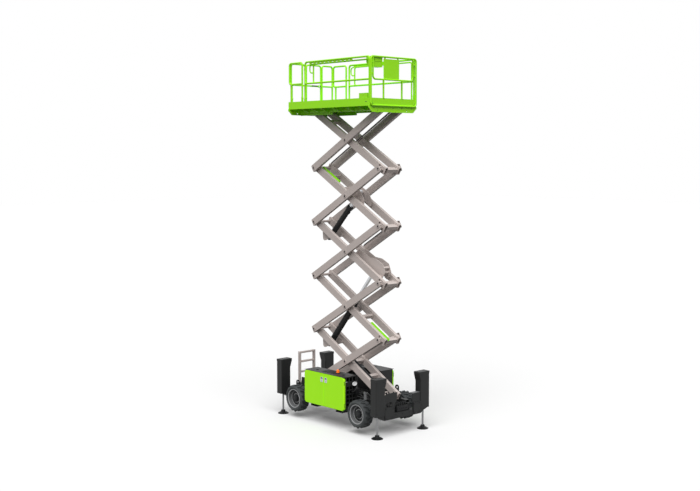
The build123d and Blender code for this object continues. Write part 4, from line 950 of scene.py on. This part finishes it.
class SCISSORLIFT_OT_guard_rails(bpy.types.Operator):
    """Guard rails, gate and ladder in their full tube"""
    bl_idname = "scissorlift.guard_rails"
    bl_label = "Guard rails"

    def execute(self, context):
        growth = context.scene.scissor_lift_parts.tube_growth
        # columns: node, body, finish, share of the growth
        for name, body, key, share in (
                ("rail_left", "platform", "lime", 1.0),
                ("rail_right", "platform", "lime", 1.0),
                ("rail_rear", "platform", "lime", 0.7),
                ("entry_gate", "gate", "lime", 0.5),
                ("extension_rail_front", "extension", "lime", 1.1),
                ("extension_rail_left", "extension", "lime", 0.7),
                ("extension_rail_right", "extension", "lime", 0.7),
                ("ladder", "chassis", "taupe", 2.0)):
            piece = self.fuller(name, body, key, share * growth)
            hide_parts(name)
        return {"FINISHED"}

    def fuller(self, name, body, key, growth):
        """Copy of a tube frame whose skin stands out by the growth, but no higher or lower than the frame,
        and where it is a side rail no wider."""
        low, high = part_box(name)
        shape = bmesh.new()
        shape.from_mesh(frame["nodes"][name].data)
        bmesh.ops.remove_doubles(shape, verts=shape.verts, dist=0.05 * MM)
        shape.normal_update()
        side_rail = name.endswith(("_left", "_right"))
        for vert in shape.verts:
            vert.co += vert.normal * growth
            vert.co.z = min(max(vert.co.z, low.z), high.z)
            if side_rail:
                vert.co.y = min(max(vert.co.y, low.y), high.y)
        piece = put(f"{name}_tubes", shape, key, body)
        piece.modifiers.new("even shading", "WEIGHTED_NORMAL").keep_sharp = True
        return piece


class SCISSORLIFT_OT_platform_trim(bpy.types.Operator):
    """Rail bolts, painted shade in the tie slots, gate catch and document box lid"""
    bl_idname = "scissorlift.platform_trim"
    bl_label = "Platform trim"

    def execute(self, context):
        bolts, slot_shade, lid = (bmesh.new() for _ in range(3))
        # bolts on both sides of each rail post's foot, and along the deck's front edge
        for side in SIDES.values():
            for x in (-1.410, -1.000, -0.880, 1.460):
                for way in (-1, 1):
                    add_bolt(bolts, (x + way * 0.0315, side * 0.7377, DECK_Z + 0.204), (way, 0, 0), 0.009)
        for y in (-0.62, -0.30, 0.0, 0.30, 0.62):
            add_bolt(bolts, (1.492, y, DECK_Z - 0.10), AHEAD, 0.009)
        put("rail_bolts", bolts, "black bolt", "platform")
        # a thin black sheet on each tie slot is painted shade for the open slot
        for side in SIDES.values():
            y0, y1 = band(side, 0.7575, 0.7612)
            add_block(slot_shade, (1.3402, y0, DECK_Z + 0.0342), (1.3998, y1, DECK_Z + 0.0458))
        put("tie_slot_liners", slot_shade, "polyamide", "platform")
        add_block(lid, (1.116, -0.7605, DECK_Z + 0.238), (1.414, -0.7095, DECK_Z + 0.246), 0.002)
        add_slug(lid, (1.265, -0.7595, DECK_Z + 0.215), (0, -1, 0), 0.011, 0.008, 20, 0.001)
        put("document_box_lid", lid, "lime", "platform")
        self.gate_catch(-1.4547, DECK_Z + 0.545)
        return {"FINISHED"}

    def gate_catch(self, x, z):
        """White catch plate on the gate's inner face, with its black knob and lever."""
        plate, lever = bmesh.new(), bmesh.new()
        add_block(plate, (x, 0.196, z), (x + 0.010, 0.222, z + 0.043), 0.002)
        put("gate_catch_plate", plate, "white", "gate")
        add_slug(lever, (x + 0.002, 0.245, z + 0.021), AHEAD, 0.014, 0.026, 24, 0.004)
        add_block(lever, (x - 0.014, -0.04, z + 0.011), (x - 0.002, 0.16, z + 0.037), 0.004)
        put("gate_lever", lever, "polyamide", "gate")


class SCISSORLIFT_OT_controls(bpy.types.Operator):
    """Panel, push buttons and stop button of the platform's control box"""
    bl_idname = "scissorlift.controls"
    bl_label = "Control box"

    def execute(self, context):
        low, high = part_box("control_box")
        x, y, top = (low.x + high.x) / 2, (low.y + high.y) / 2, high.z + 0.006
        panel = bmesh.new()
        add_block(panel, (low.x + 0.012, low.y + 0.012, high.z - 0.002),
                  (high.x - 0.020, high.y - 0.012, high.z + 0.004), 0.002)
        for button_y in (y - 0.10, y - 0.04):
            for button_x in (x - 0.06, x):
                add_slug(panel, (button_x, button_y, top), UP, 0.012, 0.006, 20, 0.001)
        add_slug(panel, (x - 0.02, y + 0.09, top), UP, 0.030, 0.008, 28, 0.003, 0.022)
        put("control_panel", panel, "polyamide", "extension")
        return {"FINISHED"}


class SCISSORLIFT_PT_panel(bpy.types.Panel):
    bl_idname = "SCISSORLIFT_PT_panel"
    bl_label = "Scissor Lift"
    bl_space_type = "VIEW_3D"
    bl_region_type = "UI"
    bl_category = "Scissor Lift"

    def draw(self, context):
        for group_name, group in GROUPS.items():
            for name in group.__annotations__:
                self.layout.prop(getattr(context.scene, group_name), name)
        for operator in OPERATORS:
            self.layout.operator(operator.bl_idname)


GROUPS = {"scissor_lift_stage": ScissorLiftStage, "scissor_lift_parts": ScissorLiftParts,
          "scissor_lift_colours": ScissorLiftColours}
OPERATORS = (SCISSORLIFT_OT_stage, SCISSORLIFT_OT_finishes, SCISSORLIFT_OT_wheels, SCISSORLIFT_OT_pins,
             SCISSORLIFT_OT_hoses, SCISSORLIFT_OT_doors, SCISSORLIFT_OT_oil_works,
             SCISSORLIFT_OT_outriggers, SCISSORLIFT_OT_frame_trim, SCISSORLIFT_OT_guard_rails,
             SCISSORLIFT_OT_platform_trim, SCISSORLIFT_OT_controls)
CLASSES = (*GROUPS.values(), *OPERATORS, SCISSORLIFT_PT_panel)


def register():
    for cls in CLASSES:
        bpy.utils.register_class(cls)
    for group_name, group in GROUPS.items():
        setattr(bpy.types.Scene, group_name, bpy.props.PointerProperty(type=group))


def unregister():
    for group_name in GROUPS:
        delattr(bpy.types.Scene, group_name)
    for cls in reversed(CLASSES):
        bpy.utils.unregister_class(cls)


def main():
    register()
    for operator in OPERATORS:
        group, name = operator.bl_idname.split(".")
        getattr(getattr(bpy.ops, group), name)()


if __name__ == "__main__":
    main()
